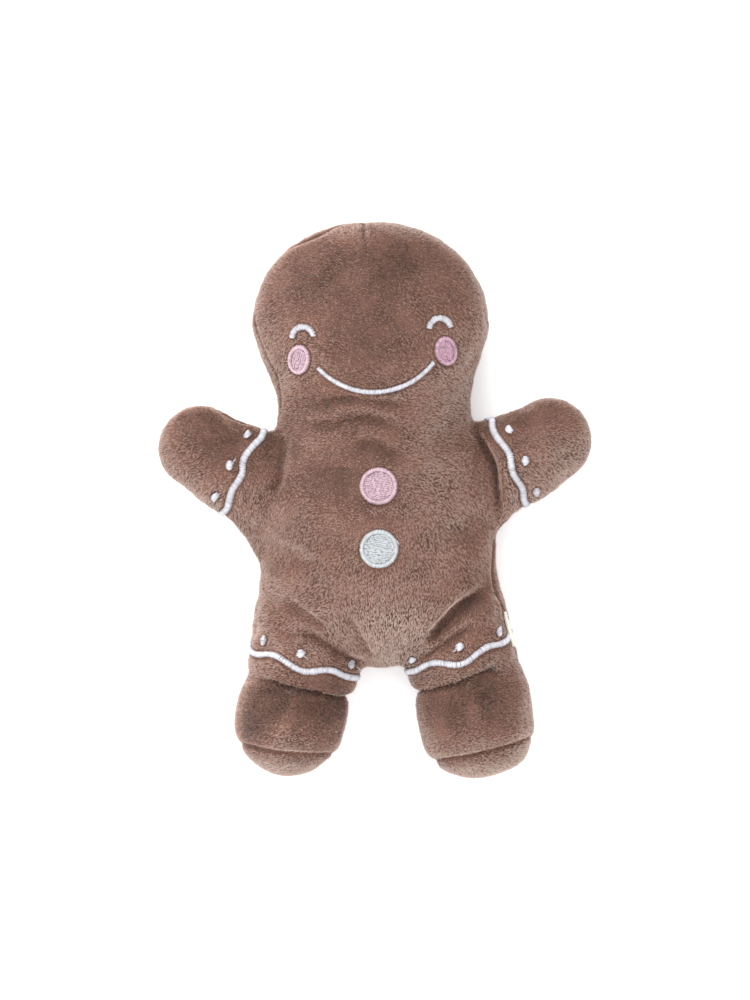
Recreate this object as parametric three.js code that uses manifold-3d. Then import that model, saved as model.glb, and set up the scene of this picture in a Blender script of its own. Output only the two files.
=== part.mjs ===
// A stuffed plush gingerbread figure, lying on its back with its embroidered face up.
//
// The figure is sewn from a front and a back panel, so every limb is widest at the seam
// between them, which lies level at SEAM_HEIGHT above the surface that the figure rests on.
// Head, trunk, arms and shorts are one stuffed piece. The two feet are sewn into the shorts'
// hems. The eyes, cheeks, smile, buttons, icing lines and dots are thread, laid on the pile.
//
// Millimetres. +X to the right as the face is seen, +Y towards the crown, +Z out of the face.
// "Left" and "right" are the sides as the face is seen.

import * as THREE from "three";
import { mergeVertices } from "three/addons/utils/BufferGeometryUtils.js";
import Module from "manifold-3d";

const wasm = await Module();
wasm.setup();

// ---------------------------------------------------------------- driving dimensions

const SEAM_HEIGHT = 26; // the side seam above the resting surface
const THREAD_GAP = 0.3; // between the fabric and the thread laid on it
const THREAD_RISE = 0.9; // how thick the embroidery is
const SOCKET_GAP = 0.35; // between a foot and the hem around it

// Cross-sections of head and trunk: place along Y, middle in X, half width, half depth.
const TRUNK_SECTIONS = [
  { at: -42, middle: 1.9, half: 48.9, depth: 25.5 }, // hips
  { at: -29, middle: 1.4, half: 48.0, depth: 27.0 }, // belly
  { at: -4, middle: 1.7, half: 47.4, depth: 27.0 },
  { at: 10, middle: 1.9, half: 45.4, depth: 26.0 }, // chest
  { at: 25, middle: 0.6, half: 41.4, depth: 24.6 },
  { at: 37, middle: -0.2, half: 38.9, depth: 23.4 }, // neck
  { at: 45, middle: -0.8, half: 40.3, depth: 24.4 },
  { at: 57, middle: -1.8, half: 44.4, depth: 27.0 }, // cheeks
  { at: 68, middle: -1.9, half: 47.2, depth: 28.4 }, // widest part of the head
];
const CROWN = { length: 43, roundness: 2.12 }; // from the widest part of the head up
const CROTCH = { length: 26, roundness: 1.55 }; // the belly's pointed lower end

// Arms: the palm's middle, how far the arm rises outwards, and its sections from
// shoulder (negative) to palm (0), measured along the arm. A section leans up or down
// across the arm, because the arm is fuller below.
const ARMS = {
  left: { palm: [-70.2, 21.2], rise: 29 },
  right: { palm: [69.3, 24.1], rise: 27 },
};
const ARM_SECTIONS = [
  { at: -46, lean: -4.0, half: 28.0, depth: 9.5 },
  { at: -35, lean: -1.6, half: 23.4, depth: 10.5 },
  { at: -26, lean: -0.5, half: 20.8, depth: 12.4 },
  { at: -18, lean: -0.4, half: 19.9, depth: 14.2 },
  { at: -9, lean: -0.9, half: 18.4, depth: 15.2 },
  { at: 0, lean: -0.2, half: 17.3, depth: 15.0 },
];
const FINGERTIPS = { length: 16.8, roundness: 2 };
const SHOULDER = { length: 12, roundness: 2 };

// Shorts: where each hem's middle is, how far the leg splays, and sections from hip to hem.
const SHORTS = {
  left: { hem: [-30.0, -74.0], splay: 12.5 },
  right: { hem: [36.2, -71.4], splay: 15.5 },
};
const SHORTS_SECTIONS = [
  { at: -36, half: 24.0, depth: 18.5 },
  { at: -24, half: 24.0, depth: 19.0 },
  { at: -10, half: 23.2, depth: 19.4 },
  { at: -3, half: 22.6, depth: 19.6 },
];
const HIP = { length: 14, roundness: 2 };
const HEM = { length: 3.6, roundness: 2.6 };

// Feet: the ankle's middle at the hem, the splay, and sections from ankle to sole seam.
const FEET = {
  left: { ankle: [-30.3, -73.0], splay: 14, length: 38.6, plump: 1.0, roundness: 1.85 },
  right: { ankle: [37.5, -70.4], splay: 9, length: 41.6, plump: 1.05, roundness: 2.05 },
};
const FOOT_SECTIONS = [
  { at: 0, half: 20.6, depth: 16.2, lift: 0 },
  { at: 0.12, half: 22.0, depth: 18.6, lift: 0.4 },
  { at: 0.32, half: 22.6, depth: 23.4, lift: 0.8 },
  { at: 0.48, half: 22.3, depth: 26.0, lift: 0.4 },
];
const ANKLE = { length: 4.5, roundness: 3 };
const SOLE = { length: 0.52 }; // the dome below the last section
const SOLE_SEAM = { at: 0.765, pinch: 0.045, spread: 0.05 }; // as shares of a foot's length

// The face turns a little to one side. Its parts are placed from the middle between the eyes.
const FACE = { middle: [-1.6, 68.4], turn: 3.7 };
const EYE = { apart: 55.8, radius: 4.6, sweep: 165, width: 2.1 };
const CHEEK = { apart: 59.2, below: 11.6, width: 9.0, height: 11.8, lean: 8 };
const SMILE = { below: 15.2, radius: 29.8, sweep: 102, width: 1.9 };
const BUTTONS = {
  upper: { middle: [1.4, 5.2], across: 15.0 },
  lower: { middle: [1.6, -19.7], across: 15.4 },
};
const PATCH_RIM = 2.3; // the raised satin border of a button or a cheek

// Icing lines: a wave round each limb, and three dots beside it on the front and the back.
const WRIST_LINE = { at: -18.6, swing: 1.1, waves: 8, width: 2.5, dotAt: -13.8, dotSpan: 0.74 };
const HEM_LINE = { at: -7.8, swing: 1.7, waves: 6, width: 2.3, dotAt: -13.6, dotSpan: 0.77 };
const LINE_CREST = { wrist_left: 70, wrist_right: 99, hem_left: 91, hem_right: 88 }; // degrees
const DOT = { across: 3.2, rise: 1.1, perFace: 3 };

const LABEL = { wide: 14, deep: 5.5, thick: 0.7, at: -14 }; // folded tab in the side seam

// ------------------------------------------------------------------------- materials

const plush = new THREE.MeshStandardMaterial({ color: 0x8c6c5f, roughness: 0.95 });
const whiteThread = new THREE.MeshStandardMaterial({ color: 0xe6e4e8, roughness: 0.55 });
const pinkThread = new THREE.MeshStandardMaterial({ color: 0xdcabc2, roughness: 0.55 });
const paleThread = new THREE.MeshStandardMaterial({ color: 0xcfdbdc, roughness: 0.55 });
const labelTape = new THREE.MeshStandardMaterial({ color: 0xe4dcc8, roughness: 0.7 });

// ----------------------------------------------------------------------- stuffed form

// A stuffed tube along its own +Y, with an oval section that follows a short list of
// sections and is closed at each end by a rounded cap.
class StuffedForm {
  constructor(sections, rootCap, tipCap, frame, detail) {
    const numbers = sections.flatMap((s) => [s.middle ?? 0, s.half, s.depth, s.lift ?? 0]);
    const places = sections.map((s) => s.at);
    this.sections = new THREE.CubicInterpolant(places, numbers, 4);
    this.first = places[0];
    this.last = places[places.length - 1];
    this.rootCap = rootCap;
    this.tipCap = tipCap;
    this.frame = frame;
    this.detail = detail;
    this.pinch = null;
  }

  // Middle, half width, half depth and lift of the section at a place along the form.
  sectionAt(at) {
    const inside = THREE.MathUtils.clamp(at, this.first, this.last);
    const [middle, half, depth, lift] = this.sections.evaluate(inside);
    const beyond = Math.abs(at - inside);
    const cap = at < inside ? this.rootCap : this.tipCap;
    const share = Math.min(beyond / cap.length, 1);
    let scale = Math.pow(1 - Math.pow(share, cap.roundness), 1 / cap.roundness);
    if (this.pinch) scale *= 1 - this.pinch(at);
    return { middle, half: half * scale, depth: depth * scale, lift };
  }

  // A point of the surface: angle 0 is the right-hand seam, a quarter turn the front.
  pointAt(at, angle, grow = 0) {
    const { middle, half, depth, lift } = this.sectionAt(at);
    const x = middle + (half + grow) * Math.cos(angle);
    const z = lift + (depth + grow) * Math.sin(angle);
    const point = new THREE.Vector3(x, at, z).applyMatrix4(this.frame);
    point.z = Math.max(point.z, 0); // it lies flat where it rests
    return point;
  }

  // A point lifted off the surface, square to it.
  liftedPoint(at, angle, lift) {
    const step = 0.02;
    const point = this.pointAt(at, angle);
    const along = this.pointAt(at + step, angle).sub(this.pointAt(at - step, angle));
    const round = this.pointAt(at, angle + step).sub(this.pointAt(at, angle - step));
    return point.addScaledVector(round.cross(along).normalize(), -lift);
  }

  // The angle at which the front or the back is this far across the section.
  angleAcross(at, across) {
    const { middle, half } = this.sectionAt(at);
    return Math.acos(THREE.MathUtils.clamp((across - middle) / half, -1, 1));
  }

  // Places of the rings, closer together where a cap turns in.
  ringPlaces(rings) {
    const { first, last, rootCap, tipCap } = this;
    const turn = (cap, half) => 1.3 * Math.hypot(cap.length, half) / Math.SQRT2;
    const lengths = [
      turn(rootCap, this.sectionAt(first).half),
      last - first,
      turn(tipCap, this.sectionAt(last).half),
    ];
    const total = lengths[0] + lengths[1] + lengths[2];
    return Array.from({ length: rings + 1 }, (_, i) => {
      const run = (i / rings) * total;
      if (run < lengths[0]) {
        const angle = (run / lengths[0]) * (Math.PI / 2);
        return first - rootCap.length * Math.pow(Math.cos(angle), 2 / rootCap.roundness);
      }
      if (run <= lengths[0] + lengths[1]) return first + run - lengths[0];
      const angle = ((total - run) / lengths[2]) * (Math.PI / 2);
      return last + tipCap.length * Math.pow(Math.cos(angle), 2 / tipCap.roundness);
    });
  }

  // The closed surface: a ball's rings, moved out to the form.
  geometry(grow = 0) {
    const { sides, rings } = this.detail;
    const places = this.ringPlaces(rings);
    const ball = new THREE.SphereGeometry(1, sides, rings);
    const vertices = ball.getAttribute("position");
    for (let i = 0; i < vertices.count; i++) {
      const ring = rings - Math.floor(i / (sides + 1));
      const angle = Math.PI - ((i % (sides + 1)) / sides) * 2 * Math.PI;
      const ends = ring === 0 || ring === rings;
      const point = this.pointAt(places[ring], ends ? 0 : angle, ends ? 0 : grow);
      vertices.setXYZ(i, point.x, point.y, point.z);
    }
    return ball;
  }
}

// A limb's frame: its own +Y points from root to tip, turned from +Y by degrees.
function limbFrame([x, y], degrees) {
  const turn = new THREE.Matrix4().makeRotationZ(THREE.MathUtils.degToRad(degrees));
  return turn.setPosition(x, y, SEAM_HEIGHT);
}

// --------------------------------------------------------------------- solids of forms

function toSolid(geometry) {
  const bare = geometry.clone().deleteAttribute("normal").deleteAttribute("uv");
  const merged = mergeVertices(bare, 1e-4);
  return new wasm.Manifold(
    new wasm.Mesh({
      numProp: 3,
      vertProperties: merged.getAttribute("position").array,
      triVerts: new Uint32Array(merged.getIndex().array),
    }),
  );
}

function toGeometry(solid) {
  const { vertProperties, triVerts } = solid.getMesh();
  const geometry = new THREE.BufferGeometry();
  geometry.setAttribute("position", new THREE.BufferAttribute(vertProperties, 3));
  geometry.setIndex(new THREE.BufferAttribute(triVerts, 1));
  geometry.computeVertexNormals();
  return geometry;
}

const SIDES = { left: -1, right: 1 };

const trunk = new StuffedForm(
  TRUNK_SECTIONS,
  CROTCH,
  CROWN,
  limbFrame([0, 0], 0),
  { sides: 36, rings: 46 },
);

function armForm(side) {
  const { palm, rise } = ARMS[side];
  const turn = -SIDES[side] * (90 - rise);
  const sections = ARM_SECTIONS.map((s) => ({ ...s, middle: -SIDES[side] * s.lean }));
  return new StuffedForm(sections, SHOULDER, FINGERTIPS, limbFrame(palm, turn), {
    sides: 22,
    rings: 20,
  });
}

function shortsForm(side) {
  const { hem, splay } = SHORTS[side];
  const turn = SIDES[side] * (splay - 180);
  return new StuffedForm(SHORTS_SECTIONS, HIP, HEM, limbFrame(hem, turn), {
    sides: 26,
    rings: 18,
  });
}

function footForm(side) {
  const { ankle, splay, length, plump, roundness } = FEET[side];
  const sections = FOOT_SECTIONS.map((s) => ({
    ...s,
    at: s.at * length,
    half: s.half * plump,
    depth: s.depth * plump,
  }));
  const sole = { length: SOLE.length * length, roundness };
  const turn = SIDES[side] * (splay - 180);
  const form = new StuffedForm(sections, ANKLE, sole, limbFrame(ankle, turn), {
    sides: 24,
    rings: 26,
  });
  const { at, pinch, spread } = SOLE_SEAM;
  form.pinch = (y) => pinch * Math.exp(-Math.pow((y / length - at) / spread, 2));
  return form;
}

const arms = { left: armForm("left"), right: armForm("right") };
const shorts = { left: shortsForm("left"), right: shortsForm("right") };
const feet = { left: footForm("left"), right: footForm("right") };

function buildBody() {
  let solid = toSolid(trunk.geometry());
  for (const form of [arms.left, arms.right, shorts.left, shorts.right]) {
    solid = solid.add(toSolid(form.geometry()));
  }
  for (const form of [feet.left, feet.right]) {
    solid = solid.subtract(toSolid(form.geometry(SOCKET_GAP)));
  }
  return toGeometry(solid);
}

// -------------------------------------------------------------------------- embroidery

// Moves every vertex of a patch modelled flat (X and Y across, Z up) on to the fabric.
function layOn(geometry, place) {
  const vertices = geometry.getAttribute("position");
  const flat = new THREE.Vector3();
  for (let i = 0; i < vertices.count; i++) {
    flat.fromBufferAttribute(vertices, i);
    const laid = place(flat);
    vertices.setXYZ(i, laid.x, laid.y, laid.z);
  }
  geometry.deleteAttribute("normal");
  geometry.deleteAttribute("uv");
  const merged = mergeVertices(geometry, 1e-4);
  merged.computeVertexNormals();
  return merged;
}

// Lays a flat patch on the front of the trunk or head with its middle at (x, y).
function onTrunk([x, y], turn = 0) {
  const middle = new THREE.Vector2(x, y);
  const origin = new THREE.Vector2();
  return (flat) => {
    const spot = new THREE.Vector2(flat.x, flat.y)
      .rotateAround(origin, THREE.MathUtils.degToRad(turn))
      .add(middle);
    const angle = trunk.angleAcross(spot.y, spot.x);
    return trunk.liftedPoint(spot.y, angle, THREAD_GAP + flat.z);
  };
}

// A satin-stitched line bent to an arc: a flattened six-sided bar along the arc.
function arcLine({ radius, sweep, width }, segments) {
  const bar = new THREE.CylinderGeometry(1, 1, 1, 6, segments);
  const sweepAngle = THREE.MathUtils.degToRad(sweep);
  return layOn(bar, ({ x, y, z }) => {
    const angle = Math.PI / 2 + y * sweepAngle;
    const reach = radius + (x * width) / 2;
    const height = ((z + 1) / 2) * THREAD_RISE;
    return new THREE.Vector3(reach * Math.cos(angle), reach * Math.sin(angle), height);
  });
}

// A filled patch with a raised satin border, round or oval.
function filledPatch(width, height) {
  const fill = 0.7 * THREAD_RISE;
  const rim = PATCH_RIM / (width / 2);
  const profile = [
    new THREE.Vector2(0, 0),
    new THREE.Vector2(0.97, 0),
    new THREE.Vector2(1, 0.5 * THREAD_RISE),
    new THREE.Vector2(1 - 0.3 * rim, THREAD_RISE),
    new THREE.Vector2(1 - 0.7 * rim, THREAD_RISE),
    new THREE.Vector2(1 - rim, fill),
    new THREE.Vector2(0, fill),
  ];
  return new THREE.LatheGeometry(profile, 20)
    .rotateX(Math.PI / 2)
    .scale(width / 2, height / 2, 1);
}

// A place on the face, given from the middle between the eyes.
function onFace(x, y, turn = 0) {
  const origin = new THREE.Vector2();
  const spot = new THREE.Vector2(x, y).rotateAround(
    origin,
    THREE.MathUtils.degToRad(FACE.turn),
  );
  return onTrunk([FACE.middle[0] + spot.x, FACE.middle[1] + spot.y], FACE.turn + turn);
}

function buildEye(side) {
  const arc = arcLine(EYE, 8).translate(0, -EYE.radius / 2, 0);
  return layOn(arc, onFace((SIDES[side] * EYE.apart) / 2, 0));
}

function buildCheek(side) {
  const patch = filledPatch(CHEEK.width, CHEEK.height);
  const lean = SIDES[side] * CHEEK.lean;
  return layOn(patch, onFace((SIDES[side] * CHEEK.apart) / 2, -CHEEK.below, lean));
}

function buildSmile() {
  const arc = arcLine(SMILE, 26).rotateZ(Math.PI);
  const drop = SMILE.radius * Math.cos(THREE.MathUtils.degToRad(SMILE.sweep / 2));
  return layOn(arc.translate(0, drop, 0), onFace(1.0, -SMILE.below));
}

function buildButton({ middle, across }) {
  return layOn(filledPatch(across, across), onTrunk(middle));
}

// A closed wavy line round a limb: a ring with a flattened six-sided section.
function buildIcingLine(form, { at, swing, waves, width }, crest) {
  const radius = 10;
  const ring = new THREE.TorusGeometry(radius, 1, 5, 48);
  return layOn(ring, ({ x, y, z }) => {
    const round = Math.atan2(y, x);
    const out = Math.hypot(x, y) - radius;
    const wave = Math.cos(waves * (round - THREE.MathUtils.degToRad(crest)));
    const place = at + swing * wave - (z * width) / 2;
    const height = THREAD_GAP + ((out + 1) / 2) * THREAD_RISE;
    return form.liftedPoint(place, round, height);
  });
}

// Dots beside an icing line, evenly across one face of a limb.
function buildDot(form, { dotAt, dotSpan }, index, face) {
  const across = (index / (DOT.perFace - 1)) * 2 - 1;
  const angle = face * (Math.PI / 2 + Math.asin(across * dotSpan));
  const { half } = form.sectionAt(dotAt);
  return layOn(new THREE.SphereGeometry(1, 8, 3), ({ x, y, z }) => {
    const round = angle - (x * DOT.across) / 2 / half;
    const place = dotAt + (y * DOT.across) / 2;
    return form.liftedPoint(place, round, THREAD_GAP + ((z + 1) / 2) * DOT.rise);
  });
}

// The folded tape tab, sewn into the right side seam. It lies against the back panel, over
// the icing line there.
function buildLabel() {
  const form = shorts.right;
  const { wide, deep, thick, at } = LABEL;
  const { half } = form.sectionAt(at);
  const over = 2 * THREAD_GAP + THREAD_RISE;
  const tab = new THREE.BoxGeometry(1, 1, 1, 3, 6, 1);
  return layOn(tab, ({ x, y, z }) => {
    const round = Math.PI + ((0.5 - x) * deep) / half;
    return form.liftedPoint(at + y * wide, round, over + (z + 0.5) * thick);
  });
}

// ---------------------------------------------------------------------------- assembly

const figure = new THREE.Group();

function add(name, geometry, material) {
  const mesh = new THREE.Mesh(geometry, material);
  mesh.name = name;
  figure.add(mesh);
}

add("body", buildBody(), plush);
add("smile", buildSmile(), whiteThread);
add("button_upper", buildButton(BUTTONS.upper), pinkThread);
add("button_lower", buildButton(BUTTONS.lower), paleThread);
add("side_label", buildLabel(), labelTape);

for (const side of Object.keys(SIDES)) {
  add(`foot_${side}`, toGeometry(toSolid(feet[side].geometry())), plush);
  add(`eye_${side}`, buildEye(side), whiteThread);
  add(`cheek_${side}`, buildCheek(side), pinkThread);
  const lines = [
    ["wrist", arms[side], WRIST_LINE],
    ["hem", shorts[side], HEM_LINE],
  ];
  for (const [limb, form, line] of lines) {
    const crest = LINE_CREST[`${limb}_${side}`];
    add(`${limb}_line_${side}`, buildIcingLine(form, line, crest), whiteThread);
    for (const [face, turn] of [["front", 1], ["back", -1]]) {
      for (let i = 0; i < DOT.perFace; i++) {
        const name = `${limb}_dot_${side}_${face}_${i + 1}`;
        add(name, buildDot(form, line, i, turn), whiteThread);
      }
    }
  }
}

// The origin is the middle of the figure's box, on the surface that it rests on.
const box = new THREE.Box3().setFromObject(figure);
const centre = box.getCenter(new THREE.Vector3());
figure.position.set(-centre.x, -centre.y, -box.min.z);

export default figure;
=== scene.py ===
# %% [markdown]
# # A plush gingerbread man
#
# The toy is two panels of short brown plush, sewn together round the edge and stuffed, with
# two separately sewn feet. Its face, buttons and icing lines are machine embroidery. The
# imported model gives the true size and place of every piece, and this file dresses it: a soft
# skin, the pile that stands on it, and every embroidery stitch as thread.
#
# All lengths are in metres, so a length in millimetres is written as a number times MM.

import bmesh
import bpy
import numpy as np
from mathutils import Euler, Matrix, Vector, noise
from mathutils.bvhtree import BVHTree
from mathutils.kdtree import KDTree


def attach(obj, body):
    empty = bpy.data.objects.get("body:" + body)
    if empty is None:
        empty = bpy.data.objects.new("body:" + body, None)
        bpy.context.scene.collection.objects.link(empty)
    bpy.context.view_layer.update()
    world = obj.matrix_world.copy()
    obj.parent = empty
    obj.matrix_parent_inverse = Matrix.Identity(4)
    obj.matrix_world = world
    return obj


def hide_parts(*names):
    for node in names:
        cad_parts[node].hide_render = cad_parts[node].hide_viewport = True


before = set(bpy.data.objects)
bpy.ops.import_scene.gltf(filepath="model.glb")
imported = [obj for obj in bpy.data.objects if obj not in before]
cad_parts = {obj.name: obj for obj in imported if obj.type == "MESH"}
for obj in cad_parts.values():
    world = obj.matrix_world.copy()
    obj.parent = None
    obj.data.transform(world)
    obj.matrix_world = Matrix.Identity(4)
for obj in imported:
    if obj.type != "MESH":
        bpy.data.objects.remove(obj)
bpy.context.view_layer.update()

MM = 0.001
SEAM_HEIGHT = 26 * MM  # the side seam runs level, this far above the floor

# %% [markdown]
# ## Camera
#
# The photograph looks squarely at the front of the toy. Here the toy lies on its back, so the
# camera looks straight down. A long lens far away keeps the proportions flat, as in the
# photograph. The frame's height, measured at the side seam, is what the picture's 1000 pixels
# cover there.

# %% The camera over the toy
PIXEL = 0.4 * MM  # what one pixel of the photograph covers at the side seam
FRAME_LENGTH = 1000 * PIXEL
CAMERA_RISE = 5.0
AIMED_AT = (0.43 * MM, 0.2 * MM)  # the middle of the photograph, over the toy
FILM = 36.0  # the film's long side, in millimetres as Blender counts it

camera_data = bpy.data.cameras.new("camera")
camera_data.sensor_width = FILM
camera_data.lens = FILM * CAMERA_RISE / FRAME_LENGTH
camera = bpy.data.objects.new("camera", camera_data)
camera.location = (*AIMED_AT, SEAM_HEIGHT + CAMERA_RISE)
bpy.context.scene.collection.objects.link(camera)
bpy.context.scene.camera = camera
print("lens:", round(camera_data.lens), "mm")

# %% [markdown]
# ## Reading the solids
#
# Each piece of cloth or thread starts from its solid. A few small helpers turn a node's mesh
# into arrays, and put a new mesh object into the scene.

# %% Helpers for meshes as arrays
def read_vectors(mesh, field):
    flat = np.empty(len(mesh.vertices) * 3, np.float32)
    mesh.vertices.foreach_get(field, flat)
    return flat.reshape(-1, 3).astype(float)


def vertices_of(mesh):
    return read_vectors(mesh, "co")


def normals_of(mesh):
    return read_vectors(mesh, "normal")


def set_vertices(mesh, points):
    mesh.vertices.foreach_set("co", np.asarray(points, np.float32).ravel())
    mesh.update()


def mesh_from_arrays(name, points, faces):
    """A smooth mesh whose faces all have the same number of sides, one row for each face."""
    mesh = bpy.data.meshes.new(name)
    mesh.vertices.add(len(points))
    mesh.vertices.foreach_set("co", np.asarray(points, np.float32).ravel())
    mesh.loops.add(faces.size)
    mesh.loops.foreach_set("vertex_index", faces.astype(np.int32).ravel())
    mesh.polygons.add(len(faces))
    starts = np.arange(0, faces.size, faces.shape[1], dtype=np.int32)
    mesh.polygons.foreach_set("loop_start", starts)
    mesh.polygons.foreach_set("use_smooth", np.ones(len(faces), bool))
    mesh.update(calc_edges=True)
    return mesh


# %% Helpers for pieces
def add_piece(name, mesh, material, nodes=()):
    """Puts a piece into the scene, riding on the toy's one body."""
    piece = bpy.data.objects.new(name, mesh)
    bpy.context.scene.collection.objects.link(piece)
    mesh.materials.append(material)
    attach(piece, "root")
    if nodes:
        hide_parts(*nodes)
    return piece


def store(mesh, name, values):
    """Keeps one number for each vertex, under a name that materials can read."""
    layer = mesh.attributes.new(name, "FLOAT", "POINT")
    layer.data.foreach_set("value", np.asarray(values, np.float32))


# %% [markdown]
# ## The skin
#
# Plush cloth is a knitted backing with pile standing on it. The solids show where the tips of
# the pile reach, so the backing lies a little way inside them. A voxel remesh turns the joined
# tubes of the solid into one even skin, and smoothing rounds the joints between limbs and
# trunk, as stuffing does. The socket in each shorts leg is filled first, with the hull of the
# foot's upper end, so that the thin wall round it survives the remesh.

# %% A remeshed, inset copy of a solid
PILE_DEPTH = 0.75 * MM  # from the backing to the tips of the pile
PLUG_LENGTH = 6 * MM
PLUG_SWELL = 1.03  # a plug is a little too large, so that it meets the socket's wall


def ankle_plug(foot):
    """The closed hull of a foot's upper end, which sits in the socket."""
    points = vertices_of(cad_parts[foot].data)
    top = points[points[:, 1].argmax()]
    axis = points.mean(0) - top
    axis /= np.linalg.norm(axis)
    near = points[(points - top) @ axis < PLUG_LENGTH]
    hull = bmesh.new()
    for point in near:
        hull.verts.new(point)
    bmesh.ops.convex_hull(hull, input=hull.verts)
    about_middle = Matrix.Translation(-Vector(near.mean(0)))
    bmesh.ops.scale(hull, vec=(PLUG_SWELL,) * 3, verts=hull.verts, space=about_middle)
    return hull


# %% An even skin
def even_skin(name, mesh, voxel, smoothing):
    """A mesh of the same shape as another, made of even faces and smoothed."""
    skin = bpy.data.objects.new(name, mesh)
    bpy.context.scene.collection.objects.link(skin)
    remesh = skin.modifiers.new("even", "REMESH")
    remesh.mode = "VOXEL"
    remesh.voxel_size = voxel
    smooth = skin.modifiers.new("soft", "SMOOTH")
    smooth.iterations = smoothing
    smooth.factor = 0.5
    graph = bpy.context.evaluated_depsgraph_get()
    even = bpy.data.meshes.new_from_object(skin.evaluated_get(graph))
    even.name = name
    bpy.data.objects.remove(skin)
    return even


def soft_copy(name, node, plugs, voxel, smoothing):
    """A new mesh with the node's shape, remeshed into an even skin."""
    shape = bmesh.new()
    shape.from_mesh(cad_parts[node].data)
    for plug in plugs:
        part = bpy.data.meshes.new("plug")
        plug.to_mesh(part)
        shape.from_mesh(part)
        bpy.data.meshes.remove(part)
    mesh = bpy.data.meshes.new(name)
    shape.to_mesh(mesh)
    return even_skin(name, mesh, voxel, smoothing)


# %% [markdown]
# ## Folds and seams
#
# Stuffing pulls the cloth tight over the belly and lets it buckle where limbs meet the trunk.
# Each fold here is a short route over the front of the toy, in millimetres from the middle of
# its box. The skin sinks along the route. On the route's left it rises steeply into a lip,
# as stuffed cloth does where it bulges over a fold, and on its right it rises gently. Seams are
# sharper and shallower folds: the side seam goes all the way round at one height, each sole
# is sewn on round the toe, and a dart shapes the crown.

# %% Smooth routes, steps and hills
def along(route, spacing):
    """Evenly spaced points on a smooth curve through the route's points."""
    route = np.asarray(route, float)
    place = np.linspace(0, len(route) - 1, 40 * len(route))
    before = np.clip(np.floor(place).astype(int), 0, len(route) - 2)
    part = (place - before)[:, None]
    last = len(route) - 1
    p0, p1 = route[np.clip(before - 1, 0, last)], route[before]
    p2, p3 = route[before + 1], route[np.clip(before + 2, 0, last)]
    curve = 0.5 * (
        2 * p1
        + (p2 - p0) * part
        + (2 * p0 - 5 * p1 + 4 * p2 - p3) * part**2
        + (3 * p1 - p0 - 3 * p2 + p3) * part**3
    )
    run = np.r_[0, np.cumsum(np.linalg.norm(np.diff(curve, axis=0), axis=1))]
    steps = np.linspace(0, run[-1], max(2, int(round(run[-1] / spacing)) + 1))
    return np.stack([np.interp(steps, run, curve[:, k]) for k in range(curve.shape[1])], 1)


def unit(vectors):
    """The same directions, each of length one."""
    return vectors / np.maximum(np.linalg.norm(vectors, axis=-1, keepdims=True), 1e-12)


def smooth_step(value, low, high):
    """0 below low, 1 above high, and an easy slope between them."""
    part = np.clip((value - low) / (high - low), 0, 1)
    return part * part * (3 - 2 * part)


def hill(far, reach):
    """1 where far is zero, and almost nothing from twice the reach on."""
    return np.exp(-((far / reach) ** 2))


# %% Pressing a fold into a skin
ROUTE_STEP = 0.8 * MM
LIP = 0.5  # how much steeper a fold is on its lip, which is on the left of its route
LIP_PLACE = 1.6  # how many widths its lip lies from the route
FADE = (-0.02, 0.25)  # a fold fades out over the first and the last quarter of its route


def fold_profile(points, route, width):
    """How near a fold's valley and its lip are to points. Route and width in millimetres."""
    width = width * MM
    curve = along(np.asarray(route) * MM, ROUTE_STEP)
    gap = points[:, None, :2] - curve[None, :, :2]
    far = np.hypot(gap[..., 0], gap[..., 1])
    nearest = far.argmin(1)
    each = np.arange(len(points))
    far, offset = far[each, nearest], gap[each, nearest]
    ahead = unit(np.gradient(curve, axis=0))[nearest]
    left = ahead[:, 0] * offset[:, 1] - ahead[:, 1] * offset[:, 0] > 0
    run = nearest / (len(curve) - 1)
    fade = smooth_step(run, *FADE) * smooth_step(1 - run, *FADE)
    valley = hill(far, np.where(left, LIP * width, width))
    lip = hill(far - LIP_PLACE * width, width) * left
    return valley * fade, lip * fade


def press_fold(points, normals, route, width, depth, swell):
    """Sinks the front of a skin along a route. Route, width and depth in millimetres."""
    valley, lip = fold_profile(points, route, width)
    sink = depth * MM * (valley - swell * lip) * smooth_step(normals[:, 2], 0.0, 0.3)
    return points - normals * sink[:, None]


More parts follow.
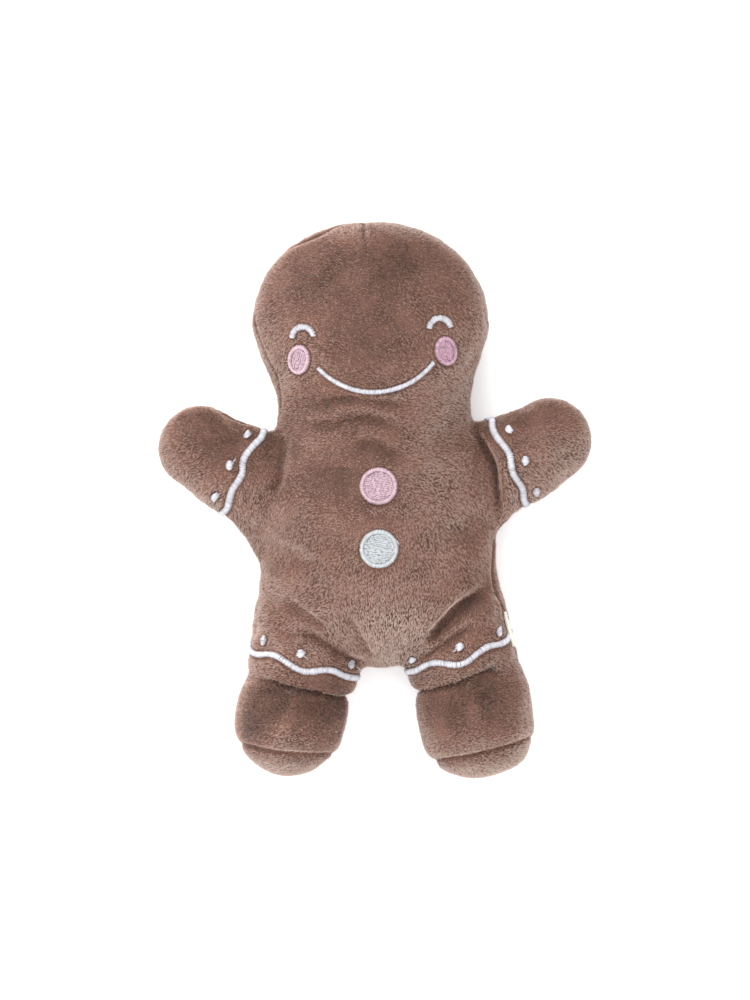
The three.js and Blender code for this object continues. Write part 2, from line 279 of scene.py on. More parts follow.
# %% Where the folds run
# Route, width and depth in millimetres, and how much the lip swells.
BODY_FOLDS = [
    # where the arms join
    ([(-41.6, 1.8), (-39.2, 6.5), (-37.6, 12.5), (-36.4, 20), (-37.0, 30)], 3.0, 2.0, 0.1),
    (
        [(38.2, 31.8), (44.0, 22.8), (47.9, 15), (49.0, 9), (49.4, 3), (50.7, -5), (51.6, -9)],
        2.2, 4.4, 0.2,
    ),
    ([(-49.5, 8), (-50.5, 2), (-52.0, -5)], 1.8, 1.0, 0.2),
    ([(51.0, 6.6), (53.2, 0.2), (54.6, -6)], 1.6, 1.2, 0.3),
    # at the hips, running in to the crotch
    ([(-36, -38), (-28, -43.8), (-23.5, -47.5), (-17, -52)], 2.6, 1.9, 0.1),
    ([(-30, -52), (-22, -54.5), (-13.6, -59.8), (-9, -63), (-2, -66)], 2.6, 3.3, 0.2),
    ([(-12.5, -43.5), (-8, -49), (-3.2, -58), (0.6, -65)], 2.2, 2.0, 0.15),
    ([(20.4, -57.5), (26.4, -50), (33.5, -42.2), (41, -37.0), (46, -33.6)], 3.4, 4.2, 0.25),
    ([(16, -64.6), (26.6, -57.6), (34.6, -52), (41.4, -48)], 2.4, 2.6, 0.3),
    # under the smile and between the buttons
    ([(-24, 38.5), (-13.8, 41), (-6, 40.6), (4, 39.2), (16, 39.0)], 2.6, 1.5, 0.4),
    ([(-30, 31.6), (-16, 31.0), (-10, 33.4), (-3, 33.8), (4, 32.0), (11, 29.6)], 2.8, 2.2, 0.4),
    ([(-8, 22.6), (0, 23.4), (6, 20.4), (13, 19.0)], 3.2, 1.8, 0.3),
    ([(-24, 12.0), (-15, 12.8), (-6, 12.2)], 2.8, 0.8, 0.3),
    ([(-3.5, -5.6), (1.4, -6.2), (6.0, -5.2)], 1.8, 1.2, 0.4),
]  # fmt: skip
# The dart at the crown, in the same units.
DART = [(-4.0, 116), (-3.7, 111), (-3.4, 106), (-2.6, 101)]
DART_WIDTH, DART_DEPTH, DART_SWELL = 1.1, 1.8, 0.4
print("folds:", len(BODY_FOLDS))

# %% Seams
SEAM_WIDTH = 0.9 * MM
SEAM_DEPTH = 1.1 * MM
# Where the seam turns towards the front: middle, reach and rise in millimetres.
SEAM_TURNS = [((-46, 58), 22, 9), ((50, -38), 20, 6), ((-23, 104), 15, 9)]
print("turns of the side seam:", len(SEAM_TURNS))


def spot_rise(points, middle, reach, rise):
    """A soft rise round one spot, as seen from the front, given in millimetres."""
    far = np.linalg.norm(points[:, :2] - np.array(middle) * MM, axis=1)
    return rise * MM * hill(far, reach * MM)


def side_seam(points):
    """How near the side seam is, from 0 to 1. It wanders a little, as sewn seams do."""
    wander = 0.8 * MM * np.sin(points[:, 1] / (17 * MM)) * np.cos(points[:, 0] / (23 * MM))
    for turn in SEAM_TURNS:
        wander = wander + spot_rise(points, *turn)
    return hill(points[:, 2] - SEAM_HEIGHT - wander, SEAM_WIDTH)


# %% Uneven stuffing
def lumps(points, size, seed):
    """Smooth noise over the points, from about -1 to 1, with lumps of a given size."""
    shift = Vector((seed * 7.31, seed * 3.17, seed * 5.77))
    return np.array([noise.noise(Vector(p / size) + shift) for p in points])


# Where stuffing is packed tighter: middle, reach and rise in millimetres.
PLUMP = [
    ((80, 24), 13, 1.1), ((70, 2), 11, 1.3), ((-66, 0), 9, 0.6), ((48, 74), 20, 1.0),
    ((-50, 72), 18, 0.5), ((-38, 98), 12, 0.6), ((26, 104), 16, 0.4), ((-49, -46), 12, 0.7),
    ((57, -63), 6, 0.7), ((60, -104), 8, 1.2),
]  # fmt: skip


def plump(points, normals):
    """Pushes a skin out where it is packed tighter."""
    for spot in PLUMP:
        points = points + normals * spot_rise(points, *spot)[:, None]
    return points


# %% The body's skin, before it is shaped
VOXEL = 1.2 * MM
BODY_SMOOTHING, FOOT_SMOOTHING = 12, 6
plugs = [ankle_plug("foot_left"), ankle_plug("foot_right")]
body_skin = soft_copy("body_skin", "body", plugs, VOXEL, BODY_SMOOTHING)
print("body skin:", len(body_skin.vertices), "vertices")

# %% [markdown]
# A stuffed panel is always cut a little larger than the shape it covers, so the cloth buckles
# in small folds where a limb bends and where the seam holds it in. A cloth simulation finds
# these: a coarse copy of the skin grows by a few per cent while pressure from inside swells it,
# and the seam, the hems and the underside hold still. The copy is ten times as large as the
# toy, because the solver's own distances suit larger things, and it is turned, so that its rows
# of faces don't steer the folds. The fine skin then takes over how far the cloth has moved in
# or out, up to a limit that keeps the outline true.

# %% Simulating the stuffed cloth
ENLARGED = 10
COARSE_VOXEL = 2.4 * MM
GROWTH = 0.03
STUFFING_PRESSURE = 1.0
SIMULATED_FRAMES = 24
MOST_MOVED = 1.1 * MM
FOLLOW_REACH = 1.6 * MM
NEIGHBOURS = 6
ASIDE = np.array(Euler((0.35, 0.5, 0.6)).to_matrix())


def held(points):
    """How firmly each point is held, from 0 to 1: at the seam, the hems and the underside."""
    seam = hill(points[:, 2] - SEAM_HEIGHT, 2 * MM)
    hems = smooth_step(-points[:, 1], 62 * MM, 68 * MM)
    below = smooth_step(3 * MM - points[:, 2], 0, 2 * MM)
    return np.maximum(np.maximum(seam, hems), below)


def add_cloth(piece, weights):
    """Cloth that grows and is pressed out from inside, held by the given weights."""
    group = piece.vertex_groups.new(name="held")
    for number in np.nonzero(weights > 0.02)[0]:
        group.add([int(number)], float(weights[number]), "REPLACE")
    cloth = piece.modifiers.new("cloth", "CLOTH")
    cloth.point_cache.frame_start = 1
    cloth.point_cache.frame_end = SIMULATED_FRAMES
    plush = cloth.settings
    plush.quality = 5
    plush.mass = 0.3
    plush.tension_stiffness = 15
    plush.compression_stiffness = 15
    plush.shear_stiffness = 5
    plush.bending_stiffness = 3
    plush.use_pressure = True
    plush.uniform_pressure_force = STUFFING_PRESSURE
    plush.shrink_min = -GROWTH
    plush.shrink_max = -GROWTH
    plush.vertex_group_mass = "held"
    plush.effector_weights.gravity = 0


# %% Running the simulation
def simulated_moves(mesh):
    """Places on a coarse copy of a skin, and how far its cloth moves at each of them."""
    turned_mesh = mesh.copy()
    set_vertices(turned_mesh, vertices_of(mesh) @ ASIDE.T)
    coarse = even_skin("coarse", turned_mesh, COARSE_VOXEL, 0)
    places = vertices_of(coarse) @ ASIDE
    set_vertices(coarse, vertices_of(coarse) * ENLARGED)
    piece = bpy.data.objects.new("coarse", coarse)
    bpy.context.scene.collection.objects.link(piece)
    add_cloth(piece, held(places))
    for number in range(1, SIMULATED_FRAMES + 1):
        bpy.context.scene.frame_set(number)
    graph = bpy.context.evaluated_depsgraph_get()
    settled = bpy.data.meshes.new_from_object(piece.evaluated_get(graph))
    moves = vertices_of(settled) / ENLARGED @ ASIDE - places
    bpy.data.objects.remove(piece)
    for used in (settled, coarse, turned_mesh):
        bpy.data.meshes.remove(used)
    bpy.context.scene.frame_set(1)
    return places, moves


# %% [markdown]
# The fine skin could be simulated itself, but its fifty thousand points would take many
# minutes. It takes over the coarse cloth's movement instead. Each of its points looks up the
# nearest points of the coarse copy, and goes in or out by what they did on average.

# %% The fine skin follows the simulated cloth
def follow(points, normals, places, moves):
    """Moves points in or out with the cloth near them, up to a limit."""
    tree = KDTree(len(places))
    for number, place in enumerate(places):
        tree.insert(place, number)
    tree.balance()
    found = [tree.find_n(point, NEIGHBOURS) for point in points]
    near = np.array([[number for _, number, _ in each] for each in found])
    far = np.array([[distance for _, _, distance in each] for each in found])
    weights = hill(far, FOLLOW_REACH) + 1e-9
    weights = weights / weights.sum(1, keepdims=True)
    outward = ((moves[near] * weights[..., None]).sum(1) * normals).sum(1)
    return points + normals * (MOST_MOVED * np.tanh(outward / MOST_MOVED))[:, None]


places, moves = simulated_moves(body_skin)
followed = follow(vertices_of(body_skin), normals_of(body_skin), places, moves)
print("cloth:", len(places), "points, moved", np.linalg.norm(moves, axis=1).mean() / MM, "mm")
set_vertices(body_skin, followed)


# %% [markdown]
# Now the body's skin gets its form, one step after another: in by the depth of the pile, in
# again along the side seam, down at the hems, out where the stuffing is tight, in along each
# fold and the dart, and last a little up and down for the lumps that stuffing has.

# %% The body's skin, pressed in at its seams and folds
PRESSED_FLAT = 4 * MM  # up to here the toy's weight flattens the cloth
LEAST_INSET = 0.3  # the share of the pile's depth that is left on the flat underside
CUFF_DROP = 3 * MM  # the hem of the shorts hangs this much lower in front
HEM = (64 * MM, 71 * MM)  # where the drop begins and ends, below the middle of the toy
OVER_THE_TOP = (24 * MM, 40 * MM)  # and how high it begins and ends
# Size and height of the lumps in the stuffing, coarse and fine.
LUMPS = [(16 * MM, 0.5 * MM), (6 * MM, 0.2 * MM)]
LOWEST = 0.3 * MM


def inset(points, normals):
    """Moves a skin in by the depth of the pile, and gives how far each point is off the floor."""
    above = smooth_step(points[:, 2], 0, PRESSED_FLAT)[:, None]
    return points - normals * PILE_DEPTH * np.maximum(above, LEAST_INSET), above


def set_skin(mesh, points):
    """Gives a skin its final points, none of them below the floor."""
    points[:, 2] = np.maximum(points[:, 2], LOWEST)
    set_vertices(mesh, points)


normals = normals_of(body_skin)
points, above_floor = inset(vertices_of(body_skin), normals)
points = points - normals * (SEAM_DEPTH * side_seam(points))[:, None]
front = smooth_step(points[:, 2], *OVER_THE_TOP)
points[:, 1] -= CUFF_DROP * smooth_step(-points[:, 1], *HEM) * front
points = plump(points, normals)
for fold in BODY_FOLDS:
    points = press_fold(points, normals, *fold)
points = press_fold(points, normals, DART, DART_WIDTH, DART_DEPTH, DART_SWELL)
stuffing = sum(rise * lumps(points, size, seed) for seed, (size, rise) in enumerate(LUMPS, 1))
points = points + normals * stuffing[:, None] * above_floor
set_skin(body_skin, points)
print("body skin reaches", points.max(0) / MM, "mm")

# %% [markdown]
# ## The feet
#
# A foot is a tube with a round sole sewn on at its end. The sole's seam is a groove across
# the toe, tilted with the foot. The toe bulges above the groove and the sole below it, and a
# soft ridge runs down the instep. Under the hem of the shorts the ankle is pinched in.

# %% Where the parts of a foot are
# How far each foot turns out, how far its sole's seam lies from the tip of the sole, how much
# the seam rises across the foot, and how far its middle sags towards the toe.
FEET = {
    "foot_left": (np.radians(-9), 12.4 * MM, 0.05, 2.2 * MM),
    "foot_right": (np.radians(10), 12.4 * MM, 0.06, 1.6 * MM),
}
SAG_REACH = 16 * MM
ANKLE = (11 * MM, 6 * MM)  # where the ankle begins and is narrowest, from the foot's upper end
print("feet:", ", ".join(FEET))


def foot_axis(node, splay):
    """Where a foot ends below, and its direction, turned out from straight down by splay."""
    solid = vertices_of(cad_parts[node].data)
    direction = np.array([np.sin(splay), -np.cos(splay), 0])
    middle = (solid[:, :2].max(0) + solid[:, :2].min(0)) / 2
    reach = ((solid - [*middle, 0]) @ direction).max()
    return np.array([*middle, 0]) + direction * reach, direction, np.ptp(solid @ direction)


def along_foot(points, node):
    """How far points lie up from the sole's seam and across the foot, and how near the ankle."""
    splay, rise, slope, sag = FEET[node]
    tip, direction, length = foot_axis(node, splay)
    back = (tip - points) @ direction
    across = (points - tip) @ np.array([-direction[1], direction[0], 0])
    seam = rise + slope * across - sag * np.cos(np.clip(across / SAG_REACH, -1.4, 1.4))
    return back - seam, across, smooth_step(back, length - ANKLE[0], length - ANKLE[1])


def sole_seam(points, node):
    """How near the sole's seam is, from 0 to 1."""
    return hill(along_foot(points, node)[0], SEAM_WIDTH)


# %% Foot skins
GROOVE = 1.5 * MM  # how deep the sole's seam is
CUFF_PINCH = 1.3 * MM  # how much narrower the ankle is just under the hem of the shorts
# Height, middle and reach of each bulge, up from the seam, and of the ridge, across the foot.
TOE_BULGE = (0.6 * MM, 3.8 * MM, 2.8 * MM)
SOLE_BULGE = (0.4 * MM, -3.3 * MM, 2.4 * MM)
INSTEP_RIDGE = (0.8 * MM, 1 * MM, 2.2 * MM)
FOOT_LUMPS = (12 * MM, 0.35 * MM)


def bulge(place, height, middle, reach):
    """A rise of a given height round a given middle."""
    return height * hill(place - middle, reach)


def make_foot_skin(node):
    """The skin of one foot, with its sole's seam, its bulges, its instep and its ankle."""
    mesh = soft_copy(f"{node}_skin", node, [], VOXEL, FOOT_SMOOTHING)
    normals = normals_of(mesh)
    points, above = inset(vertices_of(mesh), normals)
    up, across, ankle = along_foot(points, node)
    front = 0.35 + 0.65 * smooth_step(normals[:, 2], 0.0, 0.5)
    groove = GROOVE * sole_seam(points, node)
    sink = (groove - bulge(up, *TOE_BULGE) - bulge(up, *SOLE_BULGE)) * front + CUFF_PINCH * ankle
    instep = smooth_step(up, 2 * MM, 7 * MM) * smooth_step(normals[:, 2], 0.5, 0.9)
    size, rise = FOOT_LUMPS
    swell = bulge(across, *INSTEP_RIDGE) * instep + rise * lumps(points, size, 3)
    swell = swell - sink * above[:, 0]
    set_skin(mesh, plump(points + normals * swell[:, None], normals))
    return mesh


foot_skins = {node: make_foot_skin(node) for node in FEET}
for node, mesh in foot_skins.items():
    print(node, "skin:", len(mesh.vertices), "vertices")


# %% [markdown]
# ## Plush and thread materials
#
# Pile is dark at its roots, where little light reaches, and pale at its tips. Tufts also
# differ a little from each other, and the nap is brushed one way here and another there,
# which makes soft cloudy patches. Where the pile is seen from its side, light scatters in it
# and lays a pale veil over the brown; here that veil is painted sheen, a pale colour mixed in.
# One node group mixes all of that from values stored on the meshes: how far a point is towards
# the tip, the tone of its tuft, which also holds painted shade in hollows, and its painted light.
# The backing and the threads use the same group with their own values.

# %% A shared group for cloth colour
TONE = "tone"
TIP = "tip"
PAINTED_LIGHT = "painted_light"


def group_output(tree, name, kind):
    tree.interface.new_socket(name=name, in_out="OUTPUT", socket_type=kind)


def group_input(tree, name, kind, value):
    socket = tree.interface.new_socket(name=name, in_out="INPUT", socket_type=kind)
    socket.default_value = value


def add_math(tree, operation, first, second):
    node = tree.nodes.new("ShaderNodeMath")
    node.operation = operation
    for socket, value in zip(node.inputs, (first, second)):
        if isinstance(value, (int, float)):
            socket.default_value = value
        else:
            tree.links.new(value, socket)
    return node.outputs[0]


def add_mix(tree, part, first, second):
    node = tree.nodes.new("ShaderNodeMix")
    node.data_type = "RGBA"
    for socket, value in zip(("Factor", "A", "B"), (part, first, second)):
        tree.links.new(value, node.inputs[socket])
    return node.outputs["Result"]


# %% The group itself
def make_cloth_group():
    """Mixes a cloth's colour from root to tip, with its tone, its grain and its painted sheen."""
    tree = bpy.data.node_groups.new("cloth colour", "ShaderNodeTree")
    group_input(tree, "Root", "NodeSocketColor", (0.1, 0.1, 0.1, 1))
    group_input(tree, "Tip", "NodeSocketColor", (0.5, 0.5, 0.5, 1))
    group_input(tree, "Painted_sheen", "NodeSocketColor", (0.8, 0.8, 0.8, 1))
    group_input(tree, "Tone strength", "NodeSocketFloat", 0.2)
    group_input(tree, "Grain size", "NodeSocketFloat", 400.0)
    group_output(tree, "Color", "NodeSocketColor")
    group_output(tree, "Height", "NodeSocketFloat")
    given = tree.nodes.new("NodeGroupInput")
    out = tree.nodes.new("NodeGroupOutput")
    tip, tone, painted_light = (tree.nodes.new("ShaderNodeAttribute") for _ in range(3))
    tip.attribute_name, tone.attribute_name, painted_light.attribute_name = TIP, TONE, PAINTED_LIGHT
    place = tree.nodes.new("ShaderNodeTexCoord")
    grain = tree.nodes.new("ShaderNodeTexNoise")
    grain.inputs["Detail"].default_value = 3
    tree.links.new(place.outputs["Object"], grain.inputs["Vector"])
    tree.links.new(given.outputs["Grain size"], grain.inputs["Scale"])
    shaded = add_mix(tree, tip.outputs["Fac"], given.outputs["Root"], given.outputs["Tip"])
    uneven = add_math(tree, "SUBTRACT", grain.outputs["Fac"], 0.5)
    shade = add_math(tree, "ADD", tone.outputs["Fac"], uneven)
    shade = add_math(tree, "MULTIPLY", shade, given.outputs["Tone strength"])
    bright = tree.nodes.new("ShaderNodeHueSaturation")
    tree.links.new(add_math(tree, "ADD", shade, 1.0), bright.inputs["Value"])
    tree.links.new(shaded, bright.inputs["Color"])
    # The pale colour is mixed in as painted sheen, as much as each point's painted light asks.
    veiled = add_mix(tree, painted_light.outputs["Fac"], bright.outputs["Color"], given.outputs["Painted_sheen"])
    tree.links.new(veiled, out.inputs["Color"])
    tree.links.new(grain.outputs["Fac"], out.inputs["Height"])
    return tree


CLOTH_GROUP = make_cloth_group()

# %% Colours as a screen shows them
def srgb(red, green, blue):
    """A colour as it looks on a screen, 0 to 255, turned into the shader's linear values."""
    screen = np.array([red, green, blue]) / 255
    linear = np.where(screen <= 0.04045, screen / 12.92, ((screen + 0.055) / 1.055) ** 2.4)
    return (*(float(v) for v in linear), 1.0)


# %% A cloth material
# The pale colour that is mixed in as painted sheen.
PAINTED_SHEEN_COLOUR = srgb(224, 207, 197)
WARM_SHEEN = srgb(232, 222, 216)
WHITE = srgb(255, 255, 255)
RELIEF = 0.2 * MM


def make_cloth(name, root, tip, tone, grain, bump, roughness, sheen, sheen_tint, gloss=0.2):
    """A material of the shared group, with its own colours from root to tip, and its sheen."""
    material = bpy.data.materials.new(name)
    material.use_nodes = True
    tree = material.node_tree
    shader = tree.nodes["Principled BSDF"]
    colour = tree.nodes.new("ShaderNodeGroup")
    colour.node_tree = CLOTH_GROUP
    relief = tree.nodes.new("ShaderNodeBump")
    for node, values in (
        (colour, {"Root": srgb(*root), "Tip": srgb(*tip), "Painted_sheen": PAINTED_SHEEN_COLOUR}),
        (colour, {"Tone strength": tone, "Grain size": grain}),
        (relief, {"Strength": bump, "Distance": RELIEF}),
        (shader, {"Roughness": roughness, "Specular IOR Level": gloss}),
        (shader, {"Sheen Weight": sheen, "Sheen Roughness": 0.45, "Sheen Tint": sheen_tint}),
    ):
        for socket, value in values.items():
            node.inputs[socket].default_value = value
    tree.links.new(colour.outputs["Height"], relief.inputs["Height"])
    tree.links.new(relief.outputs["Normal"], shader.inputs["Normal"])
    tree.links.new(colour.outputs["Color"], shader.inputs["Base Color"])
    return material


def make_thread(name, root, tip, tone=0.2, roughness=0.55, gloss=0.3):
    """Shiny embroidery thread, whose fibres are finer than the pile's."""
    return make_cloth(name, root, tip, tone, 1500, 0.3, roughness, 0.15, WHITE, gloss)


# %% [markdown]
# Pile is matt, with a soft warm sheen. Embroidery thread is smoother, so it is glossier and
# its tones differ less. One of the cheeks was sewn with a deeper pink than the other and the
# upper button. Each finish is one line of values for the same material.

# %% The materials
pile_finish = make_cloth(
    "brown pile", (84, 52, 40), (192, 152, 134), 1.3, 2400, 0.0, 0.75, 0.2, WARM_SHEEN
)
backing_finish = make_cloth(
    "knitted backing", (70, 42, 32), (130, 98, 84), 0.6, 2600, 0.8, 0.85, 0.2, WARM_SHEEN
)
# For thread, the root colour is the thread painted in shade at a stitch's ends, and the tip colour
# the thread painted lit on top of its arch.
white_finish = make_thread("white thread", (162, 160, 166), (195, 194, 200), 0.22, 0.7, 0.12)
pink_finish = make_thread("pink thread", (146, 114, 127), (185, 160, 169))
deep_pink_finish = make_thread("deeper pink thread", (144, 106, 123), (187, 152, 167))
pale_finish = make_thread("pale thread", (138, 146, 148), (182, 185, 187))
tape_finish = make_cloth(
    "label tape", (206, 199, 180), (226, 220, 204), 0.1, 2500, 0.4, 0.6, 0.1, WHITE
)
print("materials:", len(bpy.data.materials))

# %% [markdown]
# The skins take the place of the solids. They carry two numbers at each vertex for their
# material: how near the colour is to the tips of the pile, and a tone that makes soft clouds.

# %% The skins as pieces
# The backing is coloured near the pile's dark roots: painted shade, as it is seen deep between the
# tufts.
BACKING_TIP = 0.3  # the backing's colour lies nearer to the roots than to the tips
CLOUDS = 9 * MM


def add_skin(mesh, node, seed):
    """A skin as a piece of backing cloth in place of its solid."""
    store(mesh, TIP, np.full(len(mesh.vertices), BACKING_TIP))
    store(mesh, TONE, lumps(vertices_of(mesh), CLOUDS, seed))
    return add_piece(f"{node}_skin", mesh, backing_finish, [node])


body_piece = add_skin(body_skin, "body", 4)
for node, mesh in foot_skins.items():
    foot_piece = add_skin(mesh, node, 5)
print("skins:", 1 + len(foot_skins))

# %% [markdown]
# ## Embroidery
#
# Machine embroidery is made of single stitches, and at this size each one shows. A line is
# satin stitch: short threads side by side, straight across the line, each one slightly
# arched. A picture of stitches would lie flat, so each stitch is a thread of its own. A line
# is made from its route over the cloth: at every half millimetre, one thread runs from edge
# to edge, and every point of it is laid on the skin by finding the nearest place there.

# %% Laying points on the cloth
body_tree = BVHTree.FromPolygons(
    [tuple(p) for p in vertices_of(body_skin)], [tuple(f.vertices) for f in body_skin.polygons]
)


def lay(points):
    """The nearest places on the body's skin, and the directions out of it there."""
    places, outward = [], []
    for point in points:
        place, normal, _, _ = body_tree.find_nearest(Vector(point))
        places.append(place)
        outward.append(normal)
    return np.array(places), np.array(outward)


def drop(points, from_below=False):
    """Where points fall on the skin from above, and the directions out of it there."""
    start, way = (-0.1, Vector((0, 0, 1))) if from_below else (0.2, Vector((0, 0, -1)))
    places, outward = [], []
    for x, y in np.asarray(points)[:, :2]:
        place, normal, _, _ = body_tree.ray_cast(Vector((x, y, start)), way)
        if place is None:  # beside the toy: the nearest place on its side
            place, normal, _, _ = body_tree.find_nearest(Vector((x, y, SEAM_HEIGHT)))
        places.append(place)
        outward.append(normal)
    return np.array(places), np.array(outward)


def in_rows(finder, points, *options):
    """Lays rows of points on the skin with a finder, and gives the answers in the same rows."""
    places, outward = finder(points.reshape(-1, points.shape[-1]), *options)
    return places.reshape(*points.shape[:2], 3), outward.reshape(*points.shape[:2], 3)


# %% [markdown]
# An exported model carries its colours in a picture, and a map says which face has which part
# of it. Each stitch and each tuft gets a square cell of the map to itself, so that it keeps a
# tone of its own. All of them have the same few faces, so the cells simply lie in a grid.

# %% One cell of the map for each tuft or stitch
CELL_MARGIN = 0.06


def give_cells(mesh, corners, count):
    """A map in which each of many equal parts has its own cell of a square grid."""
    grid = int(np.ceil(np.sqrt(count)))
    number = np.arange(count)
    cell = np.stack([number % grid, number // grid], 1)[:, None]
    layer = mesh.uv_layers.new(name="OFBake")
    inside = CELL_MARGIN + (1 - 2 * CELL_MARGIN) * np.asarray(corners)
    spots = (cell + inside[None]) / grid
    layer.uv.foreach_set("vector", spots.astype(np.float32).ravel())


# %% [markdown]
# A curve with a round bevel would make one good thread. For some two thousand of them it is
# quicker to build all tubes in one go, as arrays. A thread has a ring of five corners at each
# point of its path, a closing point at each end, and is flattened and thinner at its ends,
# where it goes into the cloth.

# %% Threads as thin closed tubes
THREAD_HALF_WIDTH = 0.25 * MM
THREAD_HALF_HEIGHT = 0.19 * MM
THREAD_SIDES = 5
THREAD_TAPER = 0.55  # how wide a thread still is where it goes into the cloth
chance = np.random.default_rng(11)  # always the same draws, so each run gives the same toy


def thread_corners(steps):
    """Where the corners of one thread's faces lie in its cell: the tube is rolled out flat."""
    run, turn = 1 / (steps + 1), 1 / THREAD_SIDES
    corners = []
    for step in range(1, steps):
        for side in range(THREAD_SIDES):
            low, high = (step * run, side * turn), ((step + 1) * run, (side + 1) * turn)
            corners += [low, (low[0], high[1]), high, low, high, (high[0], low[1])]
    for side in range(THREAD_SIDES):
        low, high = side * turn, (side + 1) * turn
        corners += [(0, low), (run, high), (run, low), (1, low), (1 - run, low), (1 - run, high)]
    return corners


def thread_faces(steps):
    """The faces of one thread: a tube of rings, with a point at each end."""
    faces = []
    for step in range(steps - 1):
        for side in range(THREAD_SIDES):
            a = step * THREAD_SIDES + side
            b = step * THREAD_SIDES + (side + 1) % THREAD_SIDES
            faces += [(a, b, b + THREAD_SIDES), (a, b + THREAD_SIDES, a + THREAD_SIDES)]
    first, last, start = steps * THREAD_SIDES, steps * THREAD_SIDES + 1, (steps - 1) * THREAD_SIDES
    for side in range(THREAD_SIDES):
        after = (side + 1) % THREAD_SIDES
        faces += [(first, after, side), (last, start + side, start + after)]
    return np.array(faces)


# %% Threads as pieces
def thread_mesh(name, paths, outward, half_width, half_height, shade):
    """One closed tube for each path. paths and outward are arrays of thread, point, xyz."""
    count, steps, _ = paths.shape
    tangent = unit(np.gradient(paths, axis=1))
    sideways = unit(np.cross(tangent, outward))
    upward = np.cross(sideways, tangent)
    turn = 2 * np.pi * np.arange(THREAD_SIDES) / THREAD_SIDES
    slim = np.ones(steps)
    slim[[0, -1]] = THREAD_TAPER
    ring = (
        sideways[:, :, None] * (half_width * np.cos(turn))[:, None]
        + upward[:, :, None] * (half_height * np.sin(turn))[:, None]
    )
    tube = paths[:, :, None] + ring * slim[:, None, None]
    ends = np.stack([paths[:, 0], paths[:, -1]], 1)
    points = np.concatenate([tube.reshape(count, -1, 3), ends], 1)
    per_thread = points.shape[1]
    faces = thread_faces(steps)[None] + (np.arange(count) * per_thread)[:, None, None]
    mesh = mesh_from_arrays(name, points.reshape(-1, 3), faces.reshape(-1, 3))
    tone = np.repeat(chance.normal(0, 0.5, count), per_thread)
    store(mesh, TONE, np.clip(tone, -1, 1) + shade)
    # Each stitch is painted paler at the top of its arch, a painted highlight, and darker at its
    # ends, where it goes into the cloth, a painted shade.
    high = np.sin(np.linspace(0.25, np.pi - 0.25, steps))
    tip = np.r_[np.repeat(high, THREAD_SIDES), 0.2, 0.2]
    store(mesh, TIP, np.tile(tip, count))
    give_cells(mesh, thread_corners(steps), count)
    return mesh


def add_threads(
    name, paths, outward, finish, slot, nodes=(),
    half_width=THREAD_HALF_WIDTH, half_height=THREAD_HALF_HEIGHT, shade=0,
):  # fmt: skip
    """A piece of threads. shade makes all of them paler or darker."""
    mesh = thread_mesh(name, paths, outward, half_width, half_height, shade)
    add_piece(name, mesh, finish, nodes)
    print(name, len(paths), "threads")


# %% [markdown]
# Satin stitch is stiff with thread, so it stands a little above the cloth and is arched from
# edge to edge. Real stitches are never quite alike: each has its own length and slant here.

# %% Satin stitch along a route
STITCH_SPACING = 0.48 * MM
THREAD_LIFT = 0.35 * MM  # from the backing to the bottom of the arch
ARCH = 0.55 * MM
ACROSS = np.linspace(-0.5, 0.5, 5)
UNEVEN_STITCH = 0.07  # how much the stitches of a line differ in length
SLANT = (0.12 * MM, 0.08 * MM)  # how far they lean along the line, and how much that differs
bare = []  # places that thread covers, where no pile stands


def satin(route, width, closed, arch=ARCH):
    """Threads straight across a route over the skin, edge to edge."""
    places, outward = lay(route)
    if closed:
        ahead, behind = np.roll(places, -1, 0), np.roll(places, 1, 0)
        forward = unit(ahead - behind)
    else:
        forward = unit(np.gradient(places, axis=0))
    across = unit(np.cross(outward, forward))
    widths = width * (1 + chance.normal(0, UNEVEN_STITCH, len(places)))
    slant = chance.normal(*SLANT, len(places))
    spread = across[:, None] * (widths[:, None] * ACROSS)[..., None]
    spread = spread + forward[:, None] * (slant[:, None] * 2 * ACROSS)[..., None]
    raw = places[:, None] + spread
    laid, out = in_rows(lay, raw)
    out = unit(out + outward[:, None])
    lift = THREAD_LIFT + arch * (1 - (2 * ACROSS) ** 2)
    bare.append(laid.reshape(-1, 3))
    return laid + out * lift[None, :, None], out


# %% [markdown]
# An icing line is a wavy ring round a limb. Both panels were embroidered before they were
# sewn together, so the line crosses the front, meets the seam, and goes on across the back.
# Each line is given as it crosses the front, in millimetres. The back has the same waves.

# %% Icing lines round the limbs
LINES = {
    "wrist_line_left": (2.8 * MM, [
        (-44.1, 27.5), (-45.1, 24.9), (-47.9, 22.1), (-51.1, 18.2), (-52.4, 14.9), (-52.5, 11.2),
        (-54.1, 7.9), (-56.5, 4.3), (-57.6, 0.5), (-58.6, -2.8), (-61.6, -5.5),
    ]),
    "wrist_line_right": (2.8 * MM, [
        (44.6, 33.2), (47.2, 31.9), (47.4, 28.9), (48.3, 26.5), (50.4, 23.4), (53.0, 20.3),
        (54.4, 17.5), (54.8, 13.5), (55.8, 10.2), (57.8, 7.4), (59.4, 4.6), (59.8, 0.5),
        (61.6, -2.6),
    ]),
    "hem_line_left": (2.5 * MM, [
        (-50.0, -56.7), (-48.7, -60.2), (-46.2, -61.6), (-42.4, -61.4), (-38.4, -62.2),
        (-34.4, -64.7), (-30.5, -67.2), (-26.4, -68.3), (-20.0, -67.6), (-16.0, -68.0),
        (-12.4, -69.8), (-8.8, -70.7), (-5.4, -70.6),
    ]),
    "hem_line_right": (2.5 * MM, [
        (13.1, -68.4), (16.7, -68.0), (19.9, -66.2), (23.6, -64.8), (27.2, -64.8), (32.4, -65.6),
        (36.8, -64.4), (41.2, -61.0), (45.6, -58.2), (50.0, -57.4), (52.9, -55.8), (54.2, -52.8),
    ]),
}  # fmt: skip


